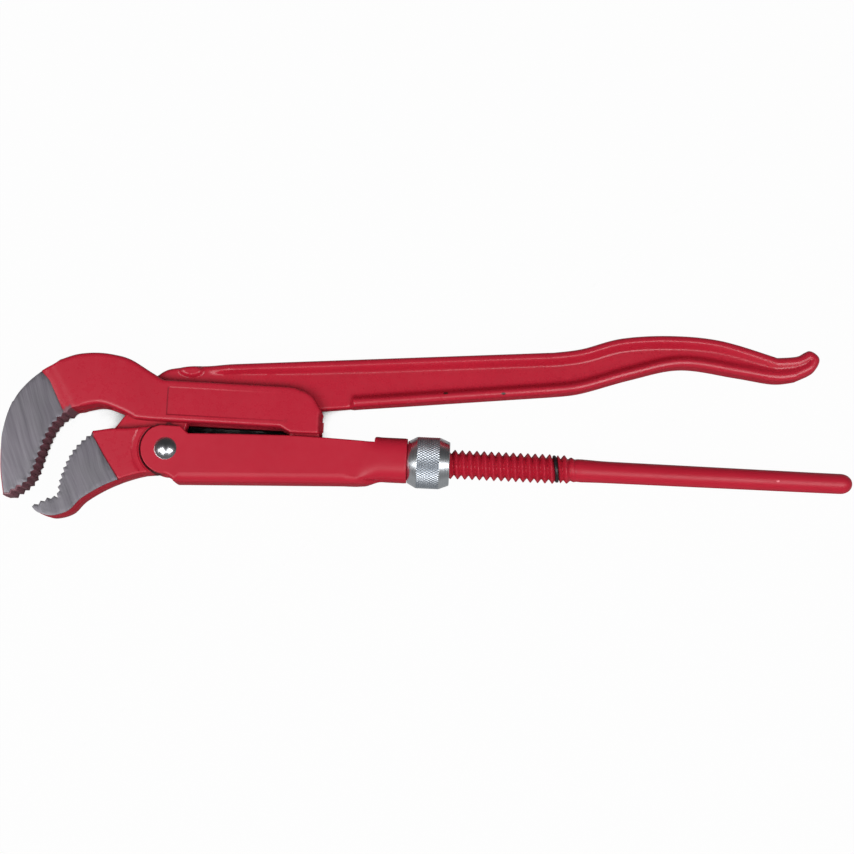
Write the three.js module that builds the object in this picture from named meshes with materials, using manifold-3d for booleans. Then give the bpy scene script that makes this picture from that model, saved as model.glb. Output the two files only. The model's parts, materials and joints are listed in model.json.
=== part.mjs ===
// Swedish-pattern pipe wrench with S-shaped jaws, adjusted by a nut behind a sliding housing.
//
// Design frame: origin on the pivot rivet, +X along the threaded rod towards the handle ends,
// +Y from the rod towards the upper handle, +Z out of the flat side. Lengths are millimetres.
import * as THREE from 'three';
import { mergeVertices } from 'three/addons/utils/BufferGeometryUtils.js';
import Module from 'manifold-3d';

const wasm = await Module();
wasm.setup();

// ---- Fits -----------------------------------------------------------------------------------
const faceGap = 0.3; // between pieces that touch, all round a running fit
const slideGap = 0.5; // between the jaw lever and what it slides or swings past
const footSideGap = 0.6; // between the foot and each cheek of the housing

// ---- Travel ---------------------------------------------------------------------------------
const closingTravel = 9; // housing towards the hook jaw, from the stored position
const openingTravel = 47.5; // housing towards the handle ends
const squeezeAngle = THREE.MathUtils.degToRad(4); // jaw lever, closing
const spreadAngle = THREE.MathUtils.degToRad(6); // jaw lever, opening

// ---- Jaw lever ------------------------------------------------------------------------------
const webHalfWidth = 4.3;
const webHeel = 23.5; // height of the web's lower edge over the shank's rear end
const eyeR = 12;
const headGap = 1.6; // from a cheek's round front to the step where the thick jaw head starts
const jawHalfWidth = 9.6;
const jawTeeth = 11;
const lipTeeth = 4;
const handleHalfWidth = 7.5;
const handleWebHalfWidth = 3.2;
const handleEnd = 322.9; // tip of the upper handle
const gripGap = 6; // from the shank's top to the rim above it
const rimFront = 13.6;
const rimWidth = 3.4;
const toothDepth = 1.5;

// ---- Hook lever -----------------------------------------------------------------------------
const shankHalfWidth = 11;
const headHalfWidth = 9.2;
const shankTop = 34;
const shankClearance = 1.8; // from the eye to the shank's underside
const shankRear = 75.3;
const shoulderGap = 1.5; // from the housing's walls to the underside of the foot's shoulders
const hookReach = 81.9; // pivot to the outermost point of the hook
const hookTop = 46.3;
const hookTeeth = 14;
const panelDepth = 0.4;
const panelHeight = 13.8;
const panelFront = -0.5;

// ---- Housing --------------------------------------------------------------------------------
const housingWall = 3.4;
const wallOverBore = 1.6; // height of the walls' top over the bore
const floorThickness = 3.6;
const floorRise = Math.atan2(2.4, 60); // the floor slopes up towards the collar
const floorEdgeR = 5;
const cheekLip = 0.4; // that the round front of each cheek stands over the eye
const springRoom = 5.2; // from the thread's crest to the channel's floor, at the pivot
const shoulderLength = 15; // closed block between the open channel and the collar
const collarLength = 16.2;
const collarWall = 3.4;
const collarRise = 0.5; // the collar's outside stands a little above the rod's axis
const spigotLength = 6; // plain neck behind the collar that carries the nut
const spigotWall = 1.4;

// ---- Threaded rod and lower handle ----------------------------------------------------------
const threadPitch = 3.63;
const threadCrestR = 7.3;
const threadDepth = 2;
const threadCrestShare = 0.24; // of the pitch
const threadFlankShare = 0.16; // of the pitch, each side
const threadPastRing = 10.2;
const lowerHandleR = 5.4; // just behind the thread
const lowerHandleEndR = 5.0;
const rodEnd = 341;

// ---- Adjusting nut --------------------------------------------------------------------------
const nutLength = 20.9;
const nutFrontWall = 1.1; // round the housing's spigot
const nutRearWall = 3.3; // round the thread
const nutGripHeight = 2; // that the knurled band stands over the rear rim
const nutChamferLength = 4.8;
const nutRimLength = 1.4;
const snapWireR = 0.5;

// ---- Stop ring ------------------------------------------------------------------------------
const stopRingWidth = 2.2;
const stopRingInset = 0.7; // below the thread's crest
const stopRingThickness = 1.1;
const stopMargin = 3.8; // left between the nut and the ring with the jaws wide open

// ---- Pivot rivet and leaf spring ------------------------------------------------------------
const rivetR = 4.2;
const rivetHeadR = 5.5;
const rivetHeadHeight = 2.2;
const springFront = 24;
const springLength = 60;
const springThickness = 1;
const springFlat = 14; // flat length that the small rivet holds down
const springRivetR = 1.8;
const springRivetHeadR = 3;
const springRivetHeadHeight = 1.2;

// ---- Sizes that follow ----------------------------------------------------------------------
const threadRootR = threadCrestR - threadDepth;
const boreR = threadCrestR + faceGap;
const slotHalfWidth = webHalfWidth + slideGap;
const shankBottom = eyeR + shankClearance;
const handleFrontTop = shankTop + gripGap + rimWidth;
const footFront = openingTravel + eyeR + 2 * slideGap;
const bridgeTop = webHeel * Math.cos(squeezeAngle) - shankRear * Math.sin(squeezeAngle) - slideGap;
const panelRear = footFront - 1.3;
const lowerRimFront = shankRear + closingTravel + 5.2;
const channelHalfWidth = boreR;
const housingHalfWidth = channelHalfWidth + housingWall;
const housingTop = boreR + wallOverBore;
const shoulderBottom = housingTop + shoulderGap;
const cheekR = eyeR + cheekLip;
const stepR = cheekR + headGap;
const channelEnd = shankRear + closingTravel + 3.7;
const channelFloor = -Math.max(eyeR + slideGap, threadCrestR + springRoom);
const housingBottom = channelFloor - floorThickness;
const collarStart = channelEnd + shoulderLength;
const collarEnd = collarStart + collarLength;
const eyeHalfWidth = channelHalfWidth - faceGap;
const footHalfWidth = channelHalfWidth - footSideGap;
const collarR = boreR + collarWall;
const spigotR = boreR + spigotWall;
const spigotEnd = collarEnd + spigotLength;
const nutFront = collarEnd + faceGap;
const nutRear = nutFront + nutLength;
const nutFrontR = spigotR + faceGap + nutFrontWall;
const nutRearR = boreR + nutRearWall;
const nutR = nutRearR + nutGripHeight;
const stopRingR = threadCrestR - stopRingInset;
const snapRingX = collarEnd + spigotLength / 2;
const threadStart = collarEnd - closingTravel - 2 * threadPitch;
const stopRingX = nutRear + openingTravel + stopMargin + stopRingWidth / 2;
const threadEnd = stopRingX + threadPastRing;
const springRivetX = springFront + springFlat / 2;
const reach = 500; // longer than anything it cuts

// Height of the sloping channel floor at a distance x behind the pivot.
const floorAt = (x) => channelFloor + x * Math.tan(floorRise);

// ---- Materials ------------------------------------------------------------------------------
const paint = { color: 0xb8283a, roughness: 0.25, metalness: 0 };
const zinc = { color: 0xb8bcc2, roughness: 0.3, metalness: 1 };
const brightSteel = { color: 0xc8c8cc, roughness: 0.2, metalness: 1 };
const springSteel = { color: 0x3c4048, roughness: 0.4, metalness: 1 };
const blackRubber = { color: 0x1c1a1c, roughness: 0.7, metalness: 0 };

// ---- Solids from three.js geometry ----------------------------------------------------------
// Six times the volume inside a closed mesh, negative where its faces point inwards.
function signedVolume(points, triangles) {
  const [a, b, c] = [new THREE.Vector3(), new THREE.Vector3(), new THREE.Vector3()];
  let sum = 0;
  for (let corner = 0; corner < triangles.length; corner += 3) {
    a.fromArray(points, 3 * triangles[corner]);
    b.fromArray(points, 3 * triangles[corner + 1]);
    c.fromArray(points, 3 * triangles[corner + 2]);
    sum += a.dot(b.cross(c));
  }
  return sum;
}

function solid(geometry) {
  const bare = geometry.index ? geometry.toNonIndexed() : geometry.clone();
  bare.deleteAttribute('normal');
  bare.deleteAttribute('uv');
  const merged = mergeVertices(bare, 1e-4);
  const points = new Float32Array(merged.attributes.position.array);
  const triangles = new Uint32Array(merged.index.array);
  if (signedVolume(points, triangles) < 0) {
    triangles.reverse();
  }
  return new wasm.Manifold(new wasm.Mesh({ numProp: 3, vertProperties: points, triVerts: triangles }));
}

function mesh(name, body, finish) {
  const { vertProperties, triVerts } = body.getMesh();
  const indexed = new THREE.BufferGeometry();
  indexed.setAttribute('position', new THREE.BufferAttribute(vertProperties.slice(), 3));
  indexed.setIndex(new THREE.BufferAttribute(triVerts.slice(), 1));
  const geometry = indexed.toNonIndexed();
  geometry.computeVertexNormals();
  const piece = new THREE.Mesh(geometry, new THREE.MeshStandardMaterial(finish));
  piece.name = name;
  return piece;
}

// A closed outline. Each entry is a corner [x, y], or { through: [...] } for a smooth curve
// that runs from the last point through the ones listed.
function outline(start, ...entries) {
  const shape = new THREE.Shape();
  shape.moveTo(...start);
  for (const entry of entries) {
    if (Array.isArray(entry)) {
      shape.lineTo(...entry);
    } else {
      shape.splineThru(entry.through.map(([x, y]) => new THREE.Vector2(x, y)));
    }
  }
  return shape;
}

// A plate with its two flat faces at z = -halfWidth and z = +halfWidth.
function plate(shape, halfWidth, curveSegments = 4) {
  const settings = { depth: 2 * halfWidth, bevelEnabled: false, curveSegments };
  const geometry = new THREE.ExtrudeGeometry(shape, settings);
  geometry.translate(0, 0, -halfWidth);
  return solid(geometry);
}

// A box between two X and two Y values, centred on the wrench's middle plane or on z.
function block([x0, x1], [y0, y1], halfWidth, z = 0) {
  const geometry = new THREE.BoxGeometry(x1 - x0, y1 - y0, 2 * halfWidth);
  geometry.translate((x0 + x1) / 2, (y0 + y1) / 2, z);
  return solid(geometry);
}

// A round body along +X. The profile lists [x, radius] and starts and ends on the axis, or
// closes on itself for a ring.
function turned(profile, segments = 32, centreY = 0) {
  const geometry = new THREE.LatheGeometry(profile.map(([x, r]) => new THREE.Vector2(r, x)), segments);
  geometry.rotateZ(-Math.PI / 2);
  geometry.translate(0, centreY, 0);
  return solid(geometry);
}

// A plain round body along +X.
function roundBar(x0, x1, radius) {
  return turned([[x0, 0], [x0, radius], [x1, radius], [x1, 0]]);
}

// A round bar along Z through the pivot.
function pivotBar(radius, halfLength, segments = 40, z = 0) {
  const geometry = new THREE.CylinderGeometry(radius, radius, 2 * halfLength, segments);
  geometry.rotateX(Math.PI / 2);
  geometry.translate(0, 0, z);
  return solid(geometry);
}

// Corner points of a row of teeth along a smooth curve, from the gullet before the first tooth.
// They stand out on the curve's right side.
function teeth(points, count) {
  const curve = new THREE.SplineCurve(points.map(([x, y]) => new THREE.Vector2(x, y)));
  const corners = [];
  for (let step = 0; step < 2 * count; step += 1) {
    const height = (step % 2 === 0 ? -1 : 1) * toothDepth / 2;
    const at = curve.getPointAt(step / (2 * count));
    const ahead = curve.getTangentAt(step / (2 * count));
    corners.push([at.x + ahead.y * height, at.y - ahead.x * height]);
  }
  return corners;
}

// A rod with a right-hand thread along +X. Both ends follow the helix and get trimmed square.
// Every thread starts a whole number of pitches from the same point, so that threads mesh.
function threadedRod(from, to, rootR, crestR, crestShare, segments = 16) {
  const start = threadStart + Math.floor((from - threadStart) / threadPitch) * threadPitch;
  const turns = Math.ceil((to - start) / threadPitch) + 2;
  const steps = turns * segments;
  const profile = [
    [-crestShare / 2 - threadFlankShare, rootR],
    [-crestShare / 2, crestR],
    [crestShare / 2, crestR],
    [crestShare / 2 + threadFlankShare, rootR],
  ];
  const last = profile.length - 1;
  const positions = [];
  for (let step = 0; step <= steps; step += 1) {
    const angle = (2 * Math.PI * step) / segments;
    for (const [share, r] of profile) {
      const x = start + threadPitch * (step / segments - 1 + share);
      positions.push(x, r * Math.cos(angle), r * Math.sin(angle));
    }
  }
  const frontCentre = positions.length / 3;
  const rearCentre = frontCentre + 1;
  positions.push(start - threadPitch, 0, 0, start + threadPitch * (turns - 1), 0, 0);

  const at = (step, corner) => step * profile.length + corner;
  const triangles = [];
  const quad = (a, b, c, d) => triangles.push(a, b, c, a, c, d);
  for (let step = 0; step < steps; step += 1) {
    for (let corner = 0; corner < last; corner += 1) {
      quad(at(step, corner), at(step, corner + 1), at(step + 1, corner + 1), at(step + 1, corner));
    }
    if (step + segments < steps) {
      const turnOn = step + segments;
      quad(at(step, last), at(turnOn, 0), at(turnOn + 1, 0), at(step + 1, last));
    }
  }
  for (let step = 0; step < segments; step += 1) {
    const closing = steps - segments + step;
    triangles.push(frontCentre, at(step, 0), at(step + 1, 0));
    triangles.push(rearCentre, at(closing + 1, last), at(closing, last));
  }
  triangles.push(frontCentre, at(segments, 0), at(0, last));
  triangles.push(rearCentre, at(steps - segments, last), at(steps, 0));
  for (let corner = last; corner > 0; corner -= 1) {
    triangles.push(frontCentre, at(0, corner), at(0, corner - 1));
    triangles.push(rearCentre, at(steps, corner - 1), at(steps, corner));
  }
  const geometry = new THREE.BufferGeometry();
  geometry.setAttribute('position', new THREE.BufferAttribute(new Float32Array(positions), 3));
  geometry.setIndex(triangles);
  return solid(geometry);
}

// ---- Hook lever: hook jaw, slotted shank, foot, threaded rod and lower handle in one forging --
function hookOutline() {
  const tip = [-76.6, -26.7];
  const flankTop = [-50.8, 13];
  const flank = [tip, [-68, -20.1], [-64.8, -14], [-61.9, -3.4], [-57.9, 6.2], flankTop];
  const rear = shankRear;
  return outline(
    [rear, shoulderBottom],
    [rear, shankTop - 12.2],
    { through: [[rear - 2.7, shankTop - 7.4], [rear - 5.3, shankTop - 4.1], [rear - 10.4, shankTop - 0.8]] },
    [rear - 17, shankTop],
    [-3, shankTop + 0.6],
    { through: [[-9.8, 38.2], [-20, hookTop - 2.4], [-37.5, hookTop], [-56.1, hookTop - 5.3]] },
    { through: [[-70, 30.5], [-79.6, 15.5], [-hookReach, -4.4], [-81.2, -14.3], [-78.9, -26.6]] },
    ...teeth(flank, hookTeeth),
    flankTop,
    { through: [[-44.4, 19.5], [-33.6, 20.6], [-23.5, 17.6], [-16.4, shankBottom + 0.4]] },
    [-8, shankBottom],
    [rear - 19.4, shankBottom - 0.6],
    [rear - 14.3, shoulderBottom],
  );
}

// The slot that the jaw lever's web passes through, from the hook's neck to the open rear end.
// Its front end keeps clear of the web with the housing right forward and the handles spread.
function slotOutline() {
  const spread = ([x, y]) => {
    const turnedX = x * Math.cos(spreadAngle) - y * Math.sin(spreadAngle);
    const turnedY = x * Math.sin(spreadAngle) + y * Math.cos(spreadAngle);
    return [turnedX - closingTravel - 2 * slideGap, turnedY];
  };
  const low = spread(webFrontLow);
  const high = spread(webFrontHigh);
  const above = hookTop + 10;
  const behind = shankRear + 10;
  return outline(
    [low[0] - 3, 0],
    low,
    high,
    [high[0] + 8, above],
    [behind, above],
    [behind, bridgeTop],
    [footFront, bridgeTop],
    [footFront, 0],
  );
}

// The foot stands between the housing's cheeks and narrows to the rod behind it.
function foot() {
  const [front, rear] = [footFront, shankRear];
  const stock = block([front, rear], [-footHalfWidth, bridgeTop], footHalfWidth);
  const rounded = roundBar(front - 5, rear + 5, footHalfWidth + 1.2);
  const upper = block([front - 5, rear + 5], [0, bridgeTop + 5], footHalfWidth + 1);
  return stock.intersect(rounded.add(upper));
}

function rod() {
  const domeLength = 6;
  const domeStart = rodEnd - domeLength;
  const rootR = threadRootR + 0.1;
  const insideR = threadRootR - 1;
  const core = turned([
    [shankRear - 2, 0],
    [shankRear - 2, footHalfWidth],
    [shankRear + 4, footHalfWidth - 0.4],
    [threadStart - 3, footHalfWidth - 0.6],
    [threadStart, rootR],
    [threadStart + 1, insideR],
    [threadEnd - 1, insideR],
    [threadEnd, rootR],
    [threadEnd + 2.5, lowerHandleR + 0.4],
    [threadEnd + 14, lowerHandleR],
    [domeStart, lowerHandleEndR],
    [domeStart + domeLength * 0.55, lowerHandleEndR * 0.86],
    [domeStart + domeLength * 0.88, lowerHandleEndR * 0.5],
    [rodEnd, 0],
  ], 24);
  const envelope = turned([
    [threadStart - 0.5, 0],
    [threadStart - 0.5, threadRootR - 0.3],
    [threadStart + threadPitch / 2, threadCrestR + 0.3],
    [threadEnd - threadPitch, threadCrestR + 0.3],
    [threadEnd + 0.5, threadRootR - 0.3],
    [threadEnd + 0.5, 0],
  ], 16);
  const thread = threadedRod(threadStart, threadEnd, threadRootR, threadCrestR, threadCrestShare);
  return core.add(thread.intersect(envelope));
}

// A band round the rod with a rectangular section, as a cutter or as the ring itself.
function band(centreX, halfWidth, innerR, outerR) {
  return turned([
    [centreX - halfWidth, innerR],
    [centreX - halfWidth, outerR],
    [centreX + halfWidth, outerR],
    [centreX + halfWidth, innerR],
    [centreX - halfWidth, innerR],
  ], 24);
}

// The shank's sides step in to the head's along a slanting line across the hook's neck.
function shankRegion() {
  const [low, high] = [[5.7, -60], [-70.2, 60]];
  return outline(low, [shankRear + 5, -60], [shankRear + 5, 60], high);
}

function hookLever() {
  const head = plate(hookOutline(), headHalfWidth);
  const shank = plate(hookOutline(), shankHalfWidth).intersect(plate(shankRegion(), shankHalfWidth + 1));
  const cheeks = head.add(shank).subtract(plate(slotOutline(), slotHalfWidth));
  const panelMiddle = (shankTop + shankBottom) / 2 - 0.4;
  const panelRange = [panelMiddle - panelHeight / 2, panelMiddle + panelHeight / 2];
  const panel = (side) => block([panelFront, panelRear], panelRange, panelDepth, side * shankHalfWidth);
  const grooveInnerR = stopRingR - stopRingThickness - faceGap;
  return cheeks
    .subtract(panel(1))
    .subtract(panel(-1))
    .add(foot())
    .add(rod())
    .subtract(band(stopRingX, stopRingWidth / 2 + faceGap, grooveInnerR, threadCrestR + 1));
}

// ---- Jaw lever: lower jaw, eye, web and upper handle in one forging ---------------------------
const jawShoulder = [-27.3, 9.3]; // where the jaw's back meets the web
const webFrontLow = [-22.6, 16.1];
const webFrontHigh = [-7.6, 37.3];

function jawOutline() {
  const flankTop = [-38, 5.1];
  const flankRoot = [-52.1, -26.3];
  const lipTip = [-64, -31.8];
  const flank = [flankTop, [-43.7, 0.1], [-47.2, -5.2], [-50.1, -12.3], [-51.7, -19.3], flankRoot];
  const lip = [flankRoot, [-55.3, -26.9], [-58.7, -28.6], lipTip];
  return outline(
    [-8.5, 11.2],
    [-18.4, 9.8],
    jawShoulder,
    [-36.7, 7.4],
    ...teeth(flank, jawTeeth),
    ...teeth(lip, lipTeeth),
    lipTip,
    { through: [[-61, -34.3], [-54.5, -35.9], [-46, -33.1], [-39.4, -26.2], [-27, -18.5], [-12.2, -12.9]] },
    [0, -eyeR],
    [0, 0],
  );
}

// The handle's long straight edges, as the height at a distance x behind the pivot.
const straightEnd = handleEnd - 133; // where the serpentine end begins
const edgeLine = ([x0, y0], [x1, y1]) => (x) => y0 + ((y1 - y0) * (x - x0)) / (x1 - x0);
const topEdge = edgeLine([rimFront, handleFrontTop], [straightEnd, 58.1]);
const lowerEdge = edgeLine([shankRear, webHeel], [straightEnd, 36.4]);

// The serpentine end's edge from the end of the straight top to the end of the straight underside.
function serpentine() {
  const end = handleEnd;
  return [
    [straightEnd, 58.1],
    { through: [[end - 119, 60.6], [end - 99.4, 66.8], [end - 74.5, 69.3], [end - 49.4, 67.9], [end - 21.5, 60.7]] },
    { through: [[end - 11.6, 61.9], [end - 5.2, 65], [end, 61], [end - 2.7, 54.4], [end - 11, 49.7]] },
    { through: [[end - 22.2, 48.2], [end - 41.1, 50.5], [end - 68.7, 53.2], [end - 93.5, 47], [end - 118.2, 38.9]] },
    [straightEnd, 36.4],
  ];
}

// The web runs up from the eye through the slot, and is the handle's own outline above it.
function webOutline() {
  return outline(
    [8.5, 8.5],
    [0, -eyeR / 2],
    [-20, 4],
    jawShoulder,
    webFrontLow,
    webFrontHigh,
    { through: [[-1.3, handleFrontTop - 2.3], [rimFront, handleFrontTop]] },
    ...serpentine(),
    [shankRear, webHeel],
    [18, webHeel - 0.7],
    [10.5, webHeel - 4],
  );
}

// The full-width handle: its upper rim starts over the shank, its lower rim behind the shank.
function handleOutline() {
  return outline(
    [rimFront, handleFrontTop],
    ...serpentine(),
    [lowerRimFront, lowerEdge(lowerRimFront)],
    [lowerRimFront, 36],
    [lowerRimFront - 12, topEdge(lowerRimFront - 12) - rimWidth],
    [rimFront, handleFrontTop - rimWidth],
  );
}

// The hollow in each side of the handle that makes its section an I.
function recessOutline() {
  const end = handleEnd;
  const front = lowerRimFront;
  return outline(
    [front - 12, 40],
    [front, topEdge(front) - rimWidth],
    [straightEnd, 58.1 - rimWidth],
    { through: [[end - 99.4, 62.6], [end - 74.5, 65.3], [end - 49.4, 64], [end - 26, 57.6], [end - 20, 55]] },
    { through: [[end - 26, 52.6], [end - 41.1, 54.6], [end - 70, 57.2], [end - 96, 51.2], [end - 118.2, 42.6]] },
    [straightEnd, 36.4 + rimWidth],
    [front + 4, lowerEdge(front + 4) + rimWidth],
    [front - 12, lowerEdge(front - 12) + rimWidth],
  );
}

// Oval pad on each side of the web, just under the front of the handle's upper rim.
function lug() {
  const oval = new THREE.Shape();
  oval.absellipse(9.5, handleFrontTop - 3, 7, 3.4, 0, 2 * Math.PI, false, 0);
  return plate(oval, handleHalfWidth - 1, 20);
}

function jawLever() {
  const sideCut = (side) => pivotBar(stepR, jawHalfWidth / 2, 40, side * (eyeHalfWidth + jawHalfWidth / 2));
  const jaw = plate(jawOutline(), jawHalfWidth).subtract(sideCut(1)).subtract(sideCut(-1));
  const hollow = plate(recessOutline(), handleHalfWidth + 1).subtract(plate(recessOutline(), handleWebHalfWidth));
  const web = plate(webOutline(), webHalfWidth);
  const handle = plate(handleOutline(), handleHalfWidth);
  return web
    .add(handle)
    .subtract(hollow)
    .add(lug())
    .add(jaw)
    .add(pivotBar(eyeR, eyeHalfWidth))
    .subtract(pivotBar(rivetR + faceGap, reach));
}

// ---- Guide housing: open channel with two cheeks, ending in a collar round the rod ------------
function housingSideOutline() {
  const side = new THREE.Shape();
  side.moveTo(61, housingTop + 0.3);
  side.lineTo(32, housingTop - 0.3);
  side.lineTo(10.7, housingTop - 1);
  side.lineTo(8.1, cheekR - 1.9);
  side.lineTo(6.6, cheekR - 0.7);
  side.lineTo(-3.3, cheekR - 0.7);
  side.absarc(0, 0, cheekR, Math.atan2(10.8, -7.7), Math.PI * 1.5, false);
  side.lineTo(3.2, (housingBottom - cheekR) / 2 - 0.3);
  side.lineTo(5.8, housingBottom);
  side.lineTo(collarStart - 3, housingBottom + 4);
  side.lineTo(collarStart + 4, collarRise - collarR + 0.1);
  side.lineTo(collarStart + 4, collarRise + collarR - 3);
  side.lineTo(collarStart, housingTop - 1);
  side.lineTo(collarStart - 25, housingTop);
  return side;
}

// Cross-section of the channel's outside: flat sides and a floor with rounded edges, drawn in
// the plane across the rod with the floor's outer face at the pivot.
function housingSection() {
  const [half, top, low] = [housingHalfWidth, 20, housingBottom + floorEdgeR];
  const section = new THREE.Shape();
  section.moveTo(-half, top);
  section.lineTo(-half, low);
  section.absarc(-half + floorEdgeR, low, floorEdgeR, Math.PI, 1.5 * Math.PI, false);
  section.absarc(half - floorEdgeR, low, floorEdgeR, 1.5 * Math.PI, 2 * Math.PI, false);
  section.lineTo(half, top);
  return section;
}

function guideHousing() {
  const [front, length] = [-20, collarEnd + 30];
  const bar = new THREE.ExtrudeGeometry(housingSection(), { depth: length, bevelEnabled: false, curveSegments: 5 });
  bar.rotateY(Math.PI / 2);
  bar.translate(front, 0, 0);
  bar.rotateZ(floorRise);
  const collar = turned([
    [channelEnd + 8, 0],
    [channelEnd + 8, collarR - 3],
    [collarStart, collarR],
    [collarEnd - 1.2, collarR],
    [collarEnd, collarR - 1.2],
    [collarEnd, 0],
  ], 32, collarRise);
  const channel = block([front - 10, channelEnd], [channelFloor, 40], channelHalfWidth)
    .rotate([0, 0, THREE.MathUtils.radToDeg(floorRise)]);
  return plate(housingSideOutline(), housingHalfWidth, 16)
    .intersect(solid(bar))
    .add(collar)
    .add(roundBar(collarEnd - 3, spigotEnd, spigotR))
    .subtract(channel)
    .subtract(roundBar(channelEnd - 5, spigotEnd + 5, boreR))
    .subtract(pivotBar(rivetR + faceGap, reach))
    .subtract(snapRing(faceGap))
    .subtract(springRivet(faceGap));
}

// ---- Adjusting nut ------------------------------------------------------------------------------
function adjustingNut() {
  const body = turned([
    [nutFront, 0],
    [nutFront, nutFrontR],
    [nutFront + nutRimLength, nutFrontR],
    [nutFront + nutChamferLength, nutR],
    [nutRear - nutChamferLength, nutR],
    [nutRear - nutRimLength, nutRearR],
    [nutRear, nutRearR],
    [nutRear, 0],
  ], 40);
  const crestShare = threadCrestShare + (2 * faceGap) / threadPitch;
  const rear = nutRear + threadPitch;
  const tap = threadedRod(nutFront - threadPitch, rear, threadRootR + faceGap, threadCrestR + faceGap, crestShare);
  const counterbore = roundBar(nutFront - 5, spigotEnd + faceGap, spigotR + faceGap);
  return body.subtract(tap).subtract(counterbore).subtract(snapRing(faceGap));
}

// ---- Small pieces ---------------------------------------------------------------------------------
// Wire ring that sits half in the spigot and half in the nut and holds the nut on the housing.
function snapRing(growth = 0) {
  const half = snapWireR + growth;
  return band(snapRingX, half, spigotR - half, spigotR + half);
}

// Rubber ring in a groove near the end of the thread, where the nut stops.
function stopRing() {
  return band(stopRingX, stopRingWidth / 2, stopRingR - stopRingThickness, stopRingR);
}

// A bar along Z with a domed head on the outside of each cheek.
function pivotRivet() {
  const face = housingHalfWidth + faceGap;
  const head = (side) => {
    const geometry = new THREE.LatheGeometry([
      new THREE.Vector2(0, face),
      new THREE.Vector2(rivetHeadR, face),
      new THREE.Vector2(rivetHeadR * 0.92, face + rivetHeadHeight * 0.35),
      new THREE.Vector2(rivetHeadR * 0.55, face + rivetHeadHeight * 0.8),
      new THREE.Vector2(0, face + rivetHeadHeight),
    ], 24);
    geometry.rotateX((side * Math.PI) / 2);
    return solid(geometry);
  };
  return pivotBar(rivetR, face + 0.5, 24).add(head(1)).add(head(-1));
}

// Bowed strip on the channel's floor. Its crest bears on the underside of the rod and foot.
function leafSpring() {
  const flatEnd = springFront + springFlat;
  const rear = springFront + springLength;
  const crestX = rear - 12;
  const crest = -threadCrestR - faceGap - springThickness;
  const seat = (x) => floorAt(x) + faceGap;
  const underside = (lift) => [
    [(flatEnd + crestX) / 2, (seat(flatEnd) + crest) / 2 + lift],
    [crestX, crest + lift],
    [rear, seat(rear) + lift],
  ];
  const strip = outline(
    [springFront, seat(springFront)],
    [flatEnd, seat(flatEnd)],
    { through: underside(0) },
    [rear, seat(rear) + springThickness],
    { through: underside(springThickness).reverse().slice(1) },
    [flatEnd, seat(flatEnd) + springThickness],
    [springFront, seat(springFront) + springThickness],
  );
  return plate(strip, footHalfWidth - slideGap).subtract(springRivet(faceGap));
}

// Small rivet along Y through the housing's floor and the spring. As a cutter it is larger by
// growth and runs out below the floor.
function springRivet(growth = 0) {
  const top = floorAt(springRivetX) + 2 * faceGap + springThickness;
  const bottom = growth ? housingBottom - 5 : floorAt(springRivetX) - floorThickness + faceGap;
  const geometry = new THREE.LatheGeometry([
    new THREE.Vector2(0, bottom),
    new THREE.Vector2(springRivetR + growth, bottom),
    new THREE.Vector2(springRivetR + growth, top),
    new THREE.Vector2(springRivetHeadR + growth, top),
    new THREE.Vector2(springRivetHeadR * 0.7, top + springRivetHeadHeight),
    new THREE.Vector2(0, top + springRivetHeadHeight),
  ], 20);
  geometry.translate(springRivetX, 0, 0);
  return solid(geometry);
}

// ---- Assembly -------------------------------------------------------------------------------------
const pieces = new THREE.Group();
pieces.add(
  mesh('hook_lever', hookLever(), paint),
  mesh('stop_ring', stopRing(), blackRubber),
  mesh('guide_housing', guideHousing(), paint),
  mesh('pivot_rivet', pivotRivet(), brightSteel),
  mesh('leaf_spring', leafSpring(), springSteel),
  mesh('spring_rivet', springRivet(), brightSteel),
  mesh('nut_snap_ring', snapRing(), springSteel),
  mesh('adjusting_nut', adjustingNut(), zinc),
  mesh('jaw_lever', jawLever(), paint),
);

// The finished tool lies on its side, with its origin below the middle of its box.
const box = new THREE.Box3().setFromObject(pieces);
const middle = box.getCenter(new THREE.Vector3());
pieces.position.set(-middle.x, -middle.y, -box.min.z);
const pipeWrench = new THREE.Group();
pipeWrench.name = 'pipe_wrench';
pipeWrench.add(pieces);
export default pipeWrench;
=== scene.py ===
"""Swedish-pattern pipe wrench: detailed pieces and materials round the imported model.

Every piece is shaped in millimetres about the pivot rivet, with +X along the threaded rod,
+Y towards the upper handle and +Z out of the flat side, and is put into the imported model's
frame, in metres, when it is finished.
"""
import json
from math import asin, atan2, ceil, cos, degrees, pi, radians, sin, tan

import bpy
import numpy as np
from mathutils import Matrix, Vector, geometry
from numpy.linalg import norm


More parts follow.
